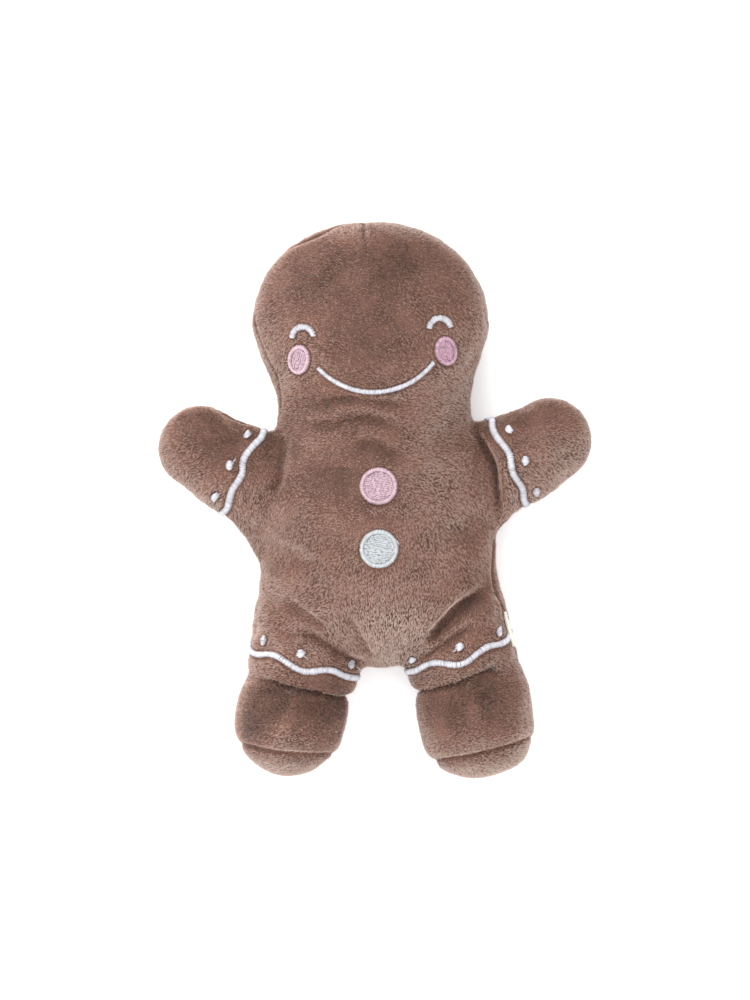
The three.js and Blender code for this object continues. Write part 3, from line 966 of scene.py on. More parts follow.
def ring_route(crossing):
    """A closed route: over the front, round the side, back under the toy, and up again."""
    front = np.array(crossing) * MM
    over, under = drop(front)[0], drop(front, from_below=True)[0]
    rough = np.vstack([over, under[::-1], over[:1]])
    return along(rough, STITCH_SPACING)[:-1]


for node, (width, crossing) in LINES.items():
    paths, outward = satin(ring_route(crossing), width, closed=True)
    add_threads(node + "_stitches", paths, outward, white_finish, "white_thread", [node])


# %% [markdown]
# The smile and the closed eyes are arcs of a circle, seen from the front. Fitting a circle to
# the solid gives its middle, and the stitches fan across the arc.

# %% Smile and eyes
def arc_route(node, trim_start, trim_end, aside, up):
    """A route along the middle of an arc-shaped solid, as seen from the front."""
    solid = vertices_of(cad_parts[node].data)[:, :2]
    fit = np.c_[2 * solid, np.ones(len(solid))]
    middle = np.linalg.lstsq(fit, (solid**2).sum(1), rcond=None)[0][:2]
    arm = solid - middle
    facing = np.arctan2(*arm.mean(0)[::-1])
    turn = np.angle(np.exp(1j * (np.arctan2(arm[:, 1], arm[:, 0]) - facing)))
    radius = np.hypot(arm[:, 0], arm[:, 1]).mean()
    start = facing + turn.min() + trim_start / radius
    end = facing + turn.max() - trim_end / radius
    angles = np.linspace(start, end, int(round((end - start) * radius / STITCH_SPACING)))
    flat = middle + (aside, up) + radius * np.c_[np.cos(angles), np.sin(angles)]
    return drop(flat)[0]


# Width, how much shorter than the solid the line is at each end, and how far aside and up
# from the solid it was sewn.
ARCS = {
    "smile": (1.9 * MM, 0.2 * MM, 1.3 * MM, 0.2 * MM, 0.8 * MM),
    "eye_left": (2.5 * MM, 0.7 * MM, 0.7 * MM, 1.0 * MM, -0.4 * MM),
    "eye_right": (2.5 * MM, 0.8 * MM, 0.8 * MM, -0.9 * MM, -0.6 * MM),
}
for node, (width, *layout) in ARCS.items():
    paths, outward = satin(arc_route(node, *layout), width, closed=False)
    add_threads(node + "_stitches", paths, outward, white_finish, "white_thread", [node])


# %% [markdown]
# A button or a cheek is a patch: rows of short running stitches, where the cloth peeps
# through at the needle holes, and a raised satin border sewn over the patch's edge.

# %% The shape of a patch
RIM_WIDTH = 1.9 * MM
RIM_ARCH = 0.8 * MM
ROUND = 1.08  # up to this ratio of length to width a patch counts as round
# The cheeks were sewn about a millimetre away from where their solids are.
SEWN_ASIDE = {"cheek_left": (0.6 * MM, 1.0 * MM), "cheek_right": (-0.9 * MM, 0.6 * MM)}


def oval_of(node):
    """Middle, long direction and half sizes of a patch, as seen from the front."""
    solid = vertices_of(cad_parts[node].data)[:, :2] + SEWN_ASIDE.get(node, (0, 0))
    middle = (solid.min(0) + solid.max(0)) / 2
    _, sizes, directions = np.linalg.svd(solid - middle, full_matrices=False)
    if sizes[0] / sizes[1] < ROUND:  # any direction will do
        directions = np.eye(2)
    halves = np.abs((solid - middle) @ directions.T).max(0)
    return middle, directions, halves


def patch_border(middle, directions, halves):
    """Satin stitch round the edge of a patch."""
    around = 2 * np.pi * (halves.mean() - RIM_WIDTH / 2)
    angles = np.linspace(0, 2 * np.pi, int(around / STITCH_SPACING), endpoint=False)
    ring = np.c_[np.cos(angles), np.sin(angles)] * (halves - RIM_WIDTH / 2)
    return satin(drop(middle + ring @ directions)[0], RIM_WIDTH, closed=True, arch=RIM_ARCH)


# %% Rows of running stitch
FILL_STITCH = 1.5 * MM
FILL_ROWS = 0.33 * MM
FILL_TURN = np.radians(24)
FILL_REACH = FILL_STITCH * np.linspace(0.06, 0.94, 4)  # the points of one stitch along its row
FILL_SHIFT = 0.2 * MM  # how unevenly the stitches start,
FILL_WANDER = 0.07  # and how unevenly they lie, in millimetres aside and as a slope
FILL_LIFT, FILL_ARCH = 0.4 * MM, 0.22 * MM
UNDERLAY_ROWS = 0.7 * MM
UNDERLAY_LIFT = 0.3 * MM


def patch_filling(middle, directions, halves):
    """Rows of short stitches inside a patch, each row shifted against the one before."""
    inner = halves - RIM_WIDTH * 0.98
    across = np.array([-np.sin(FILL_TURN), np.cos(FILL_TURN)])
    turn = np.array([[np.cos(FILL_TURN), np.sin(FILL_TURN)], across])
    fills = []
    for number, row in enumerate(np.arange(-inner.max(), inner.max(), FILL_ROWS)):
        shift = (number % 3) / 3 * FILL_STITCH
        for start in np.arange(-inner.max() - shift, inner.max(), FILL_STITCH):
            run = start + chance.normal(0, FILL_SHIFT) + FILL_REACH
            side = row + chance.normal(0, FILL_WANDER * MM)
            side = side + chance.normal(0, FILL_WANDER) * (FILL_REACH - FILL_REACH.mean())
            flat = np.c_[run, side] @ turn
            inside = np.hypot(*(flat / inner).T)
            flat = flat / np.maximum(inside, 1)[:, None]
            if inside.min() < 0.96:
                fills.append(middle + flat @ directions)
    laid, out = in_rows(drop, np.array(fills))
    bare.append(laid.reshape(-1, 3))
    arch = FILL_LIFT + FILL_ARCH * np.sin(np.linspace(0, np.pi, len(FILL_REACH)))
    return laid + out * arch[None, :, None], out


def patch_underlay(middle, directions, halves):
    """Broad stitches from edge to edge under the filling, so that no cloth shows through."""
    inner = halves - RIM_WIDTH * 0.6
    rows = np.arange(-0.94, 0.95, UNDERLAY_ROWS / inner[1])
    half = inner[0] * np.sqrt(1 - rows**2)
    side = np.tile(rows * inner[1], (len(ACROSS), 1)).T
    flat = np.stack([half[:, None] * 2 * ACROSS, side], -1)
    laid, out = in_rows(drop, middle + flat @ directions)
    return laid + out * UNDERLAY_LIFT, out


# %% Buttons and cheeks
FILL_HALF_WIDTH = 0.28 * MM
BROAD = {"half_width": 0.42 * MM, "half_height": 0.1 * MM}
# Finish, slot, and how much paler the border and the underlay are than the filling. The underlay is
# darker, as painted shade where it is seen between the stitches of the filling.
PATCHES = {
    "button_upper": (pink_finish, "pink_thread", 0.2, -2),
    "button_lower": (pale_finish, "pale_thread", 0.1, -2),
    "cheek_left": (pink_finish, "pink_thread", 0.7, -2),
    "cheek_right": (deep_pink_finish, "pink_thread", 0.0, -0.5),
}
for node, (finish, slot, rim_shade, base_shade) in PATCHES.items():
    oval, look = oval_of(node), (finish, slot, [node])
    border, filling = patch_border(*oval), patch_filling(*oval)
    add_threads(node + "_border", *border, *look, shade=rim_shade)
    add_threads(node + "_underlay", *patch_underlay(*oval), *look, shade=base_shade, **BROAD)
    add_threads(node + "_filling", *filling, *look, half_width=FILL_HALF_WIDTH)


# %% [markdown]
# The dots beside the icing lines are knots of a few satin stitches, widest in the middle.

# %% Dots
DOT_STITCHES = 8
DOT_ARCH = 0.75 * MM
# Middle, half width and half height of each dot on the front, in millimetres.
DOTS = {
    "wrist_dot_left": [(-50.5, 26.0, 1.5, 1.3), (-57.7, 14.1, 1.5, 1.9), (-63.4, 1.7, 1.6, 1.6)],
    "wrist_dot_right": [(54.0, 28.0, 1.6, 1.5), (60.4, 15.9, 1.6, 1.9), (64.9, 3.9, 1.5, 1.6)],
    "hem_dot_left": [(-43.9, -55.7, 1.2, 1.9), (-29.2, -61.0, 1.8, 1.6), (-9.2, -65.6, 1.3, 1.7)],
    "hem_dot_right": [(49.8, -52.4, 1.0, 1.9), (34.2, -58.4, 1.7, 1.6), (15.6, -63.6, 1.4, 1.1)],
}  # fmt: skip


def dot_threads(x, y, wide, tall, from_below):
    """A few stitches side by side, longest in the middle."""
    rows = np.linspace(-0.86, 0.86, DOT_STITCHES)
    reach = wide * np.sqrt(1 - rows**2) * (1 + chance.normal(0, 0.1, DOT_STITCHES))
    tilt = chance.normal(0.25, 0.15)
    flat = np.stack(
        [
            x + 2 * ACROSS * reach[:, None] + chance.normal(0, 0.1, (DOT_STITCHES, 1)),
            y + rows[:, None] * tall + 2 * ACROSS * reach[:, None] * tilt,
        ],
        -1,
    )
    laid, out = in_rows(drop, flat * MM, from_below)
    bare.append(laid.reshape(-1, 3))
    lift = THREAD_LIFT + DOT_ARCH * (1 - (2 * ACROSS) ** 2)
    return laid + out * lift[None, :, None], out


# %% The dots as pieces
for group, spots in DOTS.items():
    made = [dot_threads(*spot, from_below) for spot in spots for from_below in (False, True)]
    paths, outward = (np.concatenate(part) for part in zip(*made))
    nodes = [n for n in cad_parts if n.startswith(group)]
    add_threads(group + "s", paths, outward, white_finish, "white_thread", nodes)


# %% [markdown]
# Where the machine jumped from one motif to the next, the thread was snipped by hand. A few
# loose ends a millimetre or two long are left over.

# %% Loose ends
# Where each end leaves its stitches and where it points, in millimetres.
LOOSE_ENDS = [
    ((-28.4, -62.0), (-26.2, -63.2)), ((-8.0, -66.6), (-6.0, -68.2)), ((32.8, -59.4), (31.6, -60.4)),
    ((-56.6, 15.2), (-55.4, 16.8)), ((-62.4, 2.6), (-61.2, 3.6)), ((8.6, -15.6), (9.8, -17.8)),
]  # fmt: skip
LOOSE_LIFT = 1.1 * MM
LOOSE_BEND = 0.25 * MM
SLIM = {"half_width": 0.16 * MM, "half_height": 0.13 * MM}
ends = np.array(LOOSE_ENDS) * MM
flat = ends[:, :1] + (ends[:, 1:] - ends[:, :1]) * (ACROSS + 0.5)[:, None]
flat[..., 0] += LOOSE_BEND * np.sin(np.pi * (ACROSS + 0.5))
laid, out = in_rows(drop, flat)
add_threads("loose_ends", laid + out * LOOSE_LIFT, out, white_finish, "white_thread", **SLIM)

# %% [markdown]
# ## The label
#
# A care label is a strip of woven tape, folded in two and sewn into the side seam by its ends.
# It stands out edge on, so from the front it is only a thin pale line beside the hip.

# %% The folded tape
TAPE_THICKNESS = 0.3 * MM
TAPE_REACH = 1.5 * MM
TAPE_STEPS = 13
TAPE_SEWN = [(51.4, -44.6), (55.0, -58.4)]  # the ends of its sewn edge, in millimetres
TAPE_TURN = np.radians(115)  # how far it bends to either side of its fold
TAPE_GAPE = 0.55 * MM
TAPE_SWAY = 0.2 * MM
FRONT = np.array([0.0, 0.0, 1.0])  # the way the toy's face looks


def folded_tape(name):
    """A closed strip bent into a loop, whose open side is sewn in and whose fold lies back."""
    ends, outward = drop(np.array(TAPE_SEWN) * MM)
    middle, along_seam = ends.mean(0), unit(ends[0] - ends[1])
    length = np.linalg.norm(ends[0] - ends[1])
    outward = unit(outward.mean(0))
    backward = unit(-FRONT + outward * outward[2])
    reach = unit(backward + 0.5 * outward)
    aside = unit(np.cross(along_seam, reach))
    turn = np.linspace(-TAPE_TURN, TAPE_TURN, TAPE_STEPS)
    points = []
    for side in (-0.5, 0.5):
        for skin in (-0.5, 0.5):
            out = TAPE_REACH * (0.45 + 0.55 * np.cos(turn)) + skin * TAPE_THICKNESS * np.cos(turn)
            gape = (TAPE_GAPE + skin * TAPE_THICKNESS) * np.sin(turn)
            sway = TAPE_SWAY * np.sin(3 * turn + side)
            place = middle + along_seam * (side * length)
            points.append(place + out[:, None] * reach + (gape + sway)[:, None] * aside)
    points = np.array(points).reshape(-1, 3)
    around = [0, 1, 3, 2]  # the four long edges of the strip, in order round it
    faces = []
    for step in range(TAPE_STEPS - 1):
        for k in range(4):
            a, b = around[k] * TAPE_STEPS + step, around[(k + 1) % 4] * TAPE_STEPS + step
            faces.append((a, b, b + 1, a + 1))
    faces.append([around[k] * TAPE_STEPS for k in (3, 2, 1, 0)])
    faces.append([(around[k] + 1) * TAPE_STEPS - 1 for k in range(4)])
    mesh = mesh_from_arrays(name, points, np.array(faces))
    shape = bmesh.new()
    shape.from_mesh(mesh)
    bmesh.ops.recalc_face_normals(shape, faces=shape.faces)
    shape.to_mesh(mesh)
    store(mesh, TIP, np.full(len(points), 0.7))
    store(mesh, TONE, np.zeros(len(points)))
    return mesh


# %% The tape as a piece
tape = folded_tape("side_label_tape")
add_piece("side_label_tape", tape, tape_finish, ["side_label"])
print("tape:", len(tape.polygons), "faces")

# %% [markdown]
# ## Pile
#
# The plush is a velvety pile a millimetre or two long. It leans over, and its fibres gather
# into fine short streaks. Washing and handling comb the streaks this way and that: level over
# the chest, aslant over the face, upright down the belly. So each tuft here is a small narrow
# spike that leans along the way the pile is combed there. Where thread covers the cloth there
# is no pile, and beside the thread the tufts are short and lean away from it. Blender's own
# hair would be quicker to make, but only a mesh goes along into an exported model.

# %% How the pile is combed
# Middle in millimetres and the way the streaks run, in degrees from level, for the front.
COMBED = [
    # head
    (-28, 104, 0), (-6, 104, -4), (22, 104, -20), (38, 89, -40), (14, 78, -62), (-10, 81, -35),
    (-28, 81, -8), (-41, 72, 40), (-42, 57, -80), (-2, 57, -35), (25, 60, -50), (38, 62, -82),
    # neck and chest
    (-30, 40, 10), (-2, 39, -2), (30, 40, -10), (-26, 24, 0), (12, 24, -10), (28, 15, -25),
    (44, 16, -60), (-23, 1, -3), (-42, 4, -85), (22, -1, -45), (44, -4, -65),
    # belly and hips
    (-26, -16, 55), (-39, -15, -85), (14, -23, -88), (-2, -41, -88), (-42, -44, 0), (-18, -36, 35),
    (-15, -55, -45), (38, -25, -65), (30, -49, 40), (46, -55, -45), (20, -50, 70),
    # arms
    (-68, 32, 0), (-58, 22, 0), (-74, 9, 50), (70, 31, -2), (58, 26, -4), (62, 9, -50),
    # feet
    (-50, -81, -4), (-24, -88, -35), (-50, -97, 12), (-36, -106, -8),
    (24, -81, 0), (62, -90, -25), (20, -97, 40), (46, -106, 4),
]  # fmt: skip
COMB_REACH = 11 * MM
print("combed spots:", len(COMBED))

DOWN = np.array([0.0, -1.0, 0.0])

# %% Following the combed spots
def combed(places):
    """The way of the streaks at each place, as level vectors of either sense."""
    spots = np.array(COMBED, float)
    gap = places[:, None, :2] - spots[None, :, :2] * MM
    weight = np.exp(-(gap**2).sum(2) / (2 * COMB_REACH**2)) + 1e-9
    double = 2 * np.radians(spots[:, 2])
    angle = np.arctan2(weight @ np.sin(double), weight @ np.cos(double)) / 2
    way = np.c_[np.cos(angle), np.sin(angle), np.zeros(len(places))]
    outbound = way[:, 0] * places[:, 0] / (40 * MM) - way[:, 1]
    flip = chance.random(len(places)) > 0.5 + outbound
    return np.where(flip[:, None], -way, way)


def flow_over(outward, way):
    """A level way as the cut cloth carries it: each panel is flat cloth bent to the shape."""
    facing = np.where(outward[:, 2:] >= 0, FRONT, -FRONT)
    tilt = 1 + np.abs(outward[:, 2:])
    reach = (outward * way).sum(1, keepdims=True)
    return unit(way - reach / tilt * (facing + outward))


def turned(vectors, normals, angles):
    """Tangent vectors turned about the normals by angles."""
    across = np.cross(normals, vectors)
    return vectors * np.cos(angles)[:, None] + across * np.sin(angles)[:, None]


# %% Scattering points over a skin
FRONT_TUFTS = 4.3e6  # for each square metre, so 4.3 for each square millimetre
BACK_TUFTS = 1.0e6


def tuft_density(facing):
    """The toy lies on its back, so the hidden underside gets fewer tufts."""
    side = smooth_step(facing[:, 2], -0.75, -0.35)
    return BACK_TUFTS + (FRONT_TUFTS - BACK_TUFTS) * side


def scatter(mesh):
    """Random points on a skin, and the directions out of it there."""
    mesh.calc_loop_triangles()
    count = len(mesh.loop_triangles)
    corners = np.empty(count * 3, np.int32)
    mesh.loop_triangles.foreach_get("vertices", corners)
    corners = corners.reshape(-1, 3)
    points, normals = vertices_of(mesh), normals_of(mesh)
    a, b, c = (points[corners[:, k]] for k in range(3))
    cross = np.cross(b - a, c - a)
    area = np.linalg.norm(cross, axis=1) / 2
    number = chance.poisson(area * tuft_density(unit(cross)))
    chosen = np.repeat(np.arange(count), number)
    u, v = chance.random((2, len(chosen)))
    over = u + v > 1
    u[over], v[over] = 1 - u[over], 1 - v[over]
    weight = np.c_[1 - u - v, u, v][..., None]
    place = (points[corners[chosen]] * weight).sum(1)
    outward = unit((normals[corners[chosen]] * weight).sum(1))
    return place, outward


# %% Pile beside thread
COVERED = 0.3 * MM
BESIDE = 1.4 * MM
thread_places = np.concatenate(bare)
thread_tree = KDTree(len(thread_places))
for number, place in enumerate(thread_places):
    thread_tree.insert(place, number)
thread_tree.balance()
print("places that thread covers:", len(thread_places))


def beside_thread(places):
    """How far the nearest thread is from each place, and the direction away from it."""
    far, away = np.full(len(places), 1.0), np.zeros((len(places), 3))
    for number, place in enumerate(places):
        found, _, distance = thread_tree.find(place)
        if distance < BESIDE:
            far[number] = distance
            away[number] = Vector(place) - found
    return far, unit(away)


# %% [markdown]
# Pile is palest seen from its side and darkest seen from its tips, where the eye looks in
# between the fibres. Each panel's nap runs down, from the crown to the hem and from the ankle
# to the toe, which is why a belly's lower slope looks pale and a brow dark. A material can't
# know how a panel was cut, so each tuft's paleness is painted into its colour here, as painted
# sheen and painted shade for a view from the front, worked out from how far the nap leans away
# from the panel's own front. A list of spots makes it darker or paler than around: where
# handling has turned the nap, as painted shade under the hems and along a crease, and as a
# painted highlight down the insteps and on the soles.

# %% Brushed and shaded spots
# Middle, half width and half height in millimetres, and how much paler or darker: brushed nap,
# painted sheen and painted shade.
BRUSHED_AND_SHADED = [
    # head
    (10, 98, 9, 10, -0.18), (4, 87, 8, 10, -0.26), (-2, 62, 19, 16, -0.36), (22, 66, 10, 12, -0.18),
    (-25, 85, 15, 14, -0.36), (-12, 106, 9, 4, 0.42), (10, 107, 18, 5, 0.42), (20, 94, 4, 9, 0.05),
    (42, 86, 5, 12, 0.16), (-45, 58, 5, 12, 0.08), (32, 76, 6, 8, -0.10),
    # trunk
    (-24, 40, 13, 9, -0.40), (-33, 25, 7, 12, -0.32), (1, 22, 9, 5, -0.28), (-17, 8, 15, 10, -0.42),
    (8, -53, 13, 12, 0.42), (-34, -8, 13, 11, 0.14), (41, -14, 6, 22, -0.22), (-6, -57, 5, 5, -0.18),
    (25, 14, 14, 26, 0.24), (2, -36, 16, 12, 0.10), (-24, -58, 10, 5, 0.28), (36, -70, 16, 4, 0.20),
    # arms, with painted shade along the crease of the right arm
    (-62, 22, 16, 13, -0.38), (-42, 14, 7, 12, -0.08), (68, 24, 13, 14, 0.14), (58, 34, 6, 5, -0.34),
    (45, 20, 4, 10, -0.28), (47.5, 6, 3.5, 10, -0.30),
    # feet, with painted shade just under the hem of the shorts, and a painted highlight down each
    # instep and on each sole
    (-30, -79, 20, 8, -0.46), (-14, -85, 9, 16, -0.62), (-49, -91, 9, 11, -0.76),
    (-36, -90, 3, 8, 0.18), (-38, -99, 10, 3, 0.14), (-38, -109, 16, 4, 0.60),
    (38, -79, 15, 9, -0.26), (28, -88, 7, 9, -0.22), (48, -88, 8, 9, -0.22), (40, -98, 9, 4, 0.18),
    (44, -109, 16, 4, 0.60),
]  # fmt: skip


def brushed_and_shaded(places, outward):
    """How much paler or darker the listed spots make the pile, as brushed nap, painted sheen and
    painted shade. They are on the front only.
    """
    tone = np.zeros(len(places))
    for x, y, wide, tall, strength in BRUSHED_AND_SHADED:
        across, up = places[:, 0] / MM - x, places[:, 1] / MM - y
        tone += strength * hill(across, wide) * hill(up, tall)
    return tone * smooth_step(outward[:, 2], 0.0, 0.4)


# %% How pale the pile looks: painted sheen and painted shade
TUFT_LEAN = np.radians(52)
PAINTED_SHEEN_FLAT = 0.06  # on cloth that faces straight to the front
FLAT_SIDE_ON = np.sin(TUFT_LEAN)
# The rim is painted paler, as painted sheen, where the cloth turns away from the front.
RIM_SIDE_ON = 1.15
RIM_FROM, RIM_TO = 0.3, 0.75  # the rim, from how far the cloth turns away from the front
PAINTED_SHEEN_RISE, PAINTED_SHADE_FALL = 1.25, 0.55  # where the nap is seen more, or less, from its side
# Painted shade in the seams, the folds and the dart, and painted light beside thread: paler above it
# as painted sheen, darker below it as painted shade.
SEAM_PAINTED_SHADE = 0.35
THREAD_PAINTED_LIGHT = 0.16  # the nap runs down and piles up against the upper edge of the thread
# The painted sheen also differs a little at random, in soft clouds.
CLOUDY_PAINTED_SHEEN = 0.05
FOLD_PAINTED_SHADE = 0.12  # for each millimetre of a fold's depth
FOLDS_WITH_PAINTED_SHADE = [*BODY_FOLDS, (DART, DART_WIDTH, 3.0, 0)]


def painted_nap_light(places, outward):
    """How far the nap is seen from its side from the front, as painted sheen, or as painted shade
    where it is seen from its tips.
    """
    nap = outward * np.cos(TUFT_LEAN) + flow_over(outward, DOWN[None]) * np.sin(TUFT_LEAN)
    side_on = np.sqrt(np.clip(1 - nap[:, 2] ** 2, 0, 1))
    rim = smooth_step(1 - np.abs(outward[:, 2]), RIM_FROM, RIM_TO)
    side_on = side_on * (1 - rim) + RIM_SIDE_ON * rim - FLAT_SIDE_ON
    return PAINTED_SHEEN_FLAT + np.where(side_on > 0, PAINTED_SHEEN_RISE, PAINTED_SHADE_FALL) * side_on


def painted_light_of_tuft(places, outward, clouds, sewn, near, away):
    """The nap's painted sheen and shade with its brushed and shaded spots, painted shade in seams,
    folds and hollows, and painted light beside thread.
    """
    painted_light = painted_nap_light(places, outward) + CLOUDY_PAINTED_SHEEN * clouds
    painted_light = painted_light + brushed_and_shaded(places, outward) - SEAM_PAINTED_SHADE * sewn
    painted_light = painted_light + THREAD_PAINTED_LIGHT * near[:, 0] * np.clip(away[:, 1], -0.6, 1)
    for route, width, depth, _ in FOLDS_WITH_PAINTED_SHADE:
        valley, _ = fold_profile(places, route, 0.9 * width)
        painted_light = painted_light - FOLD_PAINTED_SHADE * depth * valley * smooth_step(outward[:, 2], 0, 0.3)
    return painted_light


# %% How dark single tufts are
TUFT_TONE = 0.16
GATHERED = 0.16  # how much whole clumps of tufts differ in tone
CLUMP = 0.7 * MM
# Painted shade in hollows: how much darker a tuft gets where its painted light is below nothing, and
# the darkest it may be.
HOLLOW_PAINTED_SHADE = 1.04
DARKEST_PAINTED_SHADE = -0.56
TONE_RANGE = (-0.75, 0.58)


def tuft_tone(places, painted_light, seed):
    """Darker as painted shade where the painted light is below nothing, and uneven in clumps and
    from tuft to tuft.
    """
    uneven = TUFT_TONE * (1 - 1.4 * np.clip(painted_light, -0.25, 0.5))  # most in the dark hollows
    clumps = GATHERED * lumps(places, CLUMP, seed) * np.clip(1 - 2 * painted_light, 0, 1)
    tone = np.maximum(HOLLOW_PAINTED_SHADE * np.minimum(painted_light, 0), DARKEST_PAINTED_SHADE) + clumps
    return np.clip(tone + uneven * chance.normal(0, 1, len(places)), *TONE_RANGE)


# %% [markdown]
# A tuft is set like this: it stands at a random place that no thread covers, it leans over
# along the way its spot is combed, and it swirls a little with its neighbours. Beside thread
# it leans away and is shorter, and in a seam it is shorter and painted darker, as shade.

# %% Where tufts stand and how they lean
TUFT_LENGTH = 1.06 * MM
LENGTH_SPREAD = 0.14
LEAN_SPREAD = 0.12
SWIRL, SWIRL_SIZE, WAY_SPREAD = 0.25, 6 * MM, 0.13
CLOUD_SIZE = 8 * MM
STRAY = 0.06  # of the tufts stand up more than the rest,
STRAY_RISE = 0.7  # by this angle
SHORTER_BESIDE, SHORTER_SEWN = 0.4, 0.35
PAINTED_SHEEN_SPREAD, MOST_PAINTED_SHEEN = 0.03, 0.6


def tufts(mesh, seam, seed):
    """Places, directions, lengths and tones for the tufts of one skin."""
    places, outward = scatter(mesh)
    far, away = beside_thread(places)
    keep = far > COVERED
    places, outward, far, away = places[keep], outward[keep], far[keep], away[keep]
    flow = flow_over(outward, np.where(outward[:, 2:] > -0.2, combed(places), DOWN))
    swirl = SWIRL * lumps(places, SWIRL_SIZE, seed)
    flow = turned(flow, outward, swirl + chance.normal(0, WAY_SPREAD, len(places)))
    near = smooth_step(BESIDE - far, 0, 0.9 * MM)[:, None]
    away = away - outward * (away * outward).sum(1, keepdims=True)
    flow = unit(flow * (1 - near) + away * near)
    clouds = lumps(places, CLOUD_SIZE, seed + 2)
    lean = TUFT_LEAN + LEAN_SPREAD * clouds + chance.normal(0, LEAN_SPREAD, len(places))
    lean = lean - STRAY_RISE * (chance.random(len(places)) < STRAY)
    lean = np.clip(lean, 0.1, 1.25)[:, None]
    aim = outward * np.cos(lean) + flow * np.sin(lean)
    length = TUFT_LENGTH * (1 + chance.normal(0, LENGTH_SPREAD, len(places)))
    sewn = seam(places)
    length = length * (1 - SHORTER_BESIDE * near[:, 0]) * (1 - SHORTER_SEWN * sewn)
    painted_light = painted_light_of_tuft(places, outward, clouds, sewn, near, away)
    tone = tuft_tone(places, painted_light, seed + 4)
    painted_light = np.clip(painted_light + chance.normal(0, PAINTED_SHEEN_SPREAD, len(places)), 0, MOST_PAINTED_SHEEN)
    return places, outward, aim, length, tone, painted_light


# %% [markdown]
# One hair of real pile is far too thin to be seen, and a tuft of them ends in a point. So a
# tuft is the simplest closed spike there is, with three corners at its foot and one tip, and
# its colour runs from the dark root to the pale tip.

# %% Tufts as flattened spikes
TUFT_WIDTH = 0.34 * MM
TUFT_THICKNESS = 0.2 * MM
WIDTH_SPREAD = 0.15
ROOTED = 0.12 * MM  # how far a tuft goes into the backing
TUFT_FACES = np.array([(0, 2, 1), (0, 1, 3), (1, 2, 3), (2, 0, 3)])
# In its cell, each face of a tuft is one quarter of the square.
TUFT_CORNERS = [
    (0, 0), (0.5, 0.5), (1, 0),
    (1, 0), (1, 1), (0.5, 0.5),
    (1, 1), (0, 1), (0.5, 0.5),
    (0, 1), (0, 0), (0.5, 0.5),
]  # fmt: skip
# The left, right and top of a tuft's foot and then its tip: how near the tip's colour each is,
# and how much of the painted sheen it shows.
CORNER_TIP = [0.0, 0.0, 0.2, 1.0]
CORNER_PAINTED_SHEEN = [0.55, 0.55, 0.7, 1.0]


def pile_mesh(name, places, outward, aim, length, tone, painted_light):
    """One mesh of many tufts, each a flat spike of four faces."""
    across = unit(np.cross(aim, outward))
    face = np.cross(across, aim)
    foot = places - outward * ROOTED
    half = TUFT_WIDTH / 2 * (1 + chance.normal(0, WIDTH_SPREAD, len(places)))[:, None]
    left, right = foot - across * half, foot + across * half
    top, tip = foot + face * TUFT_THICKNESS, foot + aim * length[:, None]
    points = np.stack([left, right, top, tip], 1)
    points[..., 2] = np.maximum(points[..., 2], 0.1 * MM)
    faces = TUFT_FACES[None] + 4 * np.arange(len(places))[:, None, None]
    mesh = mesh_from_arrays(name, points.reshape(-1, 3), faces.reshape(-1, 3))
    store(mesh, TONE, np.repeat(tone, 4))
    store(mesh, TIP, np.tile(CORNER_TIP, len(places)))
    store(mesh, PAINTED_LIGHT, painted_light.repeat(4) * np.tile(CORNER_PAINTED_SHEEN, len(places)))
    give_cells(mesh, TUFT_CORNERS, len(places))
    return mesh


# %% The pile in pieces
MOST_TUFTS = 48000  # in one piece


def add_pile(skin, name, seam, seed):
    """The pile of one skin, in as many pieces as it takes, from the crown down."""
    made = tufts(skin, seam, seed)
    order = np.argsort(-made[0][:, 1], kind="stable")
    pieces = int(np.ceil(len(order) / MOST_TUFTS))
    for number, part in enumerate(np.array_split(order, pieces), 1):
        title = f"{name}_pile_{number}" if pieces > 1 else f"{name}_pile"
        add_piece(title, pile_mesh(title, *(field[part] for field in made)), pile_finish)
        print(title, len(part), "tufts")


add_pile(body_skin, "body", side_seam, 21)
for node, mesh in foot_skins.items():
    add_pile(mesh, node, lambda places, node=node: sole_seam(places, node), 31)


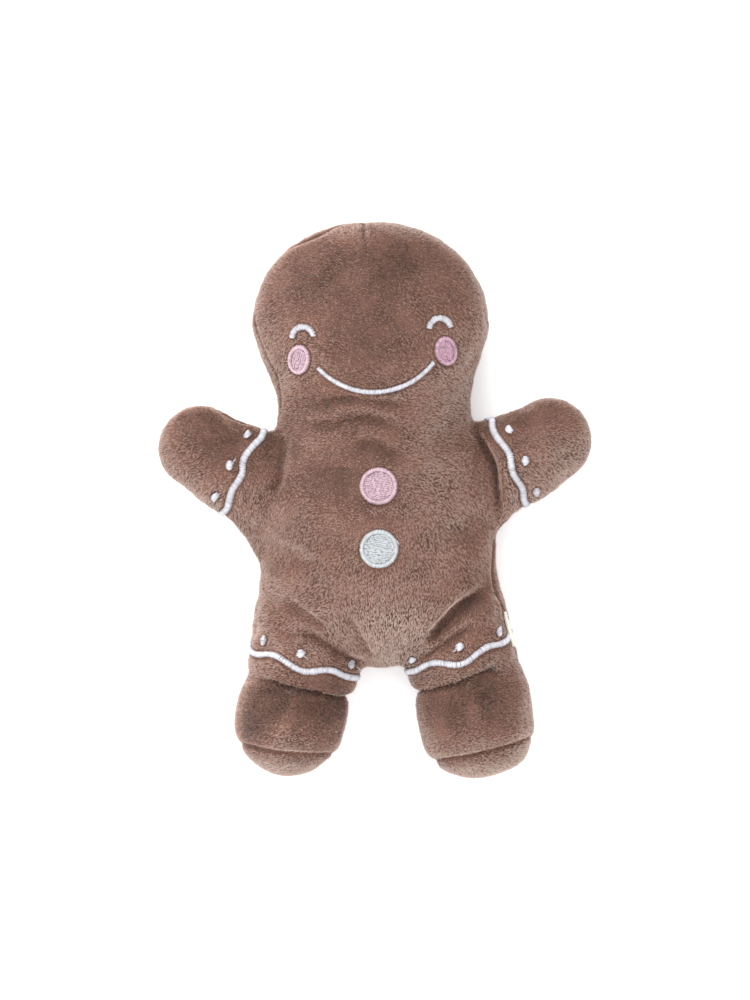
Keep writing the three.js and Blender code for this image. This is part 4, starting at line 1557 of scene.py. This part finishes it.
# %% [markdown]
# ## Floor and light
#
# The photograph has a plain white ground and very even light from all round. Here the floor
# is a large pale sheet and the light comes from wide soft panels: one overhead, and four low
# ones round the toy, which light its rims and draw out its folds.

# %% Floor
FLOOR_CORNERS = np.array([(-3, -3, 0), (3, -3, 0), (3, 3, 0), (-3, 3, 0)])
floor_mesh = mesh_from_arrays("floor", FLOOR_CORNERS, np.array([(0, 1, 2, 3)]))
floor = bpy.data.objects.new("floor", floor_mesh)
bpy.context.scene.collection.objects.link(floor)
floor_finish = bpy.data.materials.new("pale floor")
floor_finish.use_nodes = True
floor_shader = floor_finish.node_tree.nodes["Principled BSDF"]
floor_shader.inputs["Base Color"].default_value = srgb(247, 247, 248)
floor_shader.inputs["Roughness"].default_value = 0.9
floor_shader.inputs["Emission Color"].default_value = WHITE
floor_shader.inputs["Emission Strength"].default_value = 0.3  # a table lit from below
floor_mesh.materials.append(floor_finish)

# %% Lights
PANEL_SIZE = 1.0
LIT_MIDDLE = Vector((0, 0, 0.03))  # the middle of the toy, which every panel faces
# Where each panel hangs, and its power in watts.
PANELS = {
    "overhead panel": ((-0.2, 0.3, 1.9), 12),
    "crown panel": ((-0.4, 1.2, 0.75), 20),
    "left panel": ((-1.3, 0.1, 0.6), 13),
    "right panel": ((1.3, -0.1, 0.6), 4),
    "foot panel": ((0.2, -1.3, 0.6), 15),
}


def add_panel(name, place, power):
    """A soft square light panel that faces the middle of the toy."""
    data = bpy.data.lights.new(name, "AREA")
    data.size = PANEL_SIZE
    data.energy = power
    light = bpy.data.objects.new(name, data)
    light.location = place
    facing = Vector(place) - LIT_MIDDLE
    light.rotation_euler = facing.to_track_quat("Z", "Y").to_euler()
    bpy.context.scene.collection.objects.link(light)


for name, (place, power) in PANELS.items():
    add_panel(name, place, power)
print("light panels:", len(PANELS))

# %% The room's own light
world = bpy.data.worlds.new("studio")
world.use_nodes = True
background = world.node_tree.nodes["Background"]
background.inputs["Color"].default_value = srgb(250, 250, 252)
background.inputs["Strength"].default_value = 0.8
bpy.context.scene.world = world
bpy.context.scene.view_settings.view_transform = "Standard"
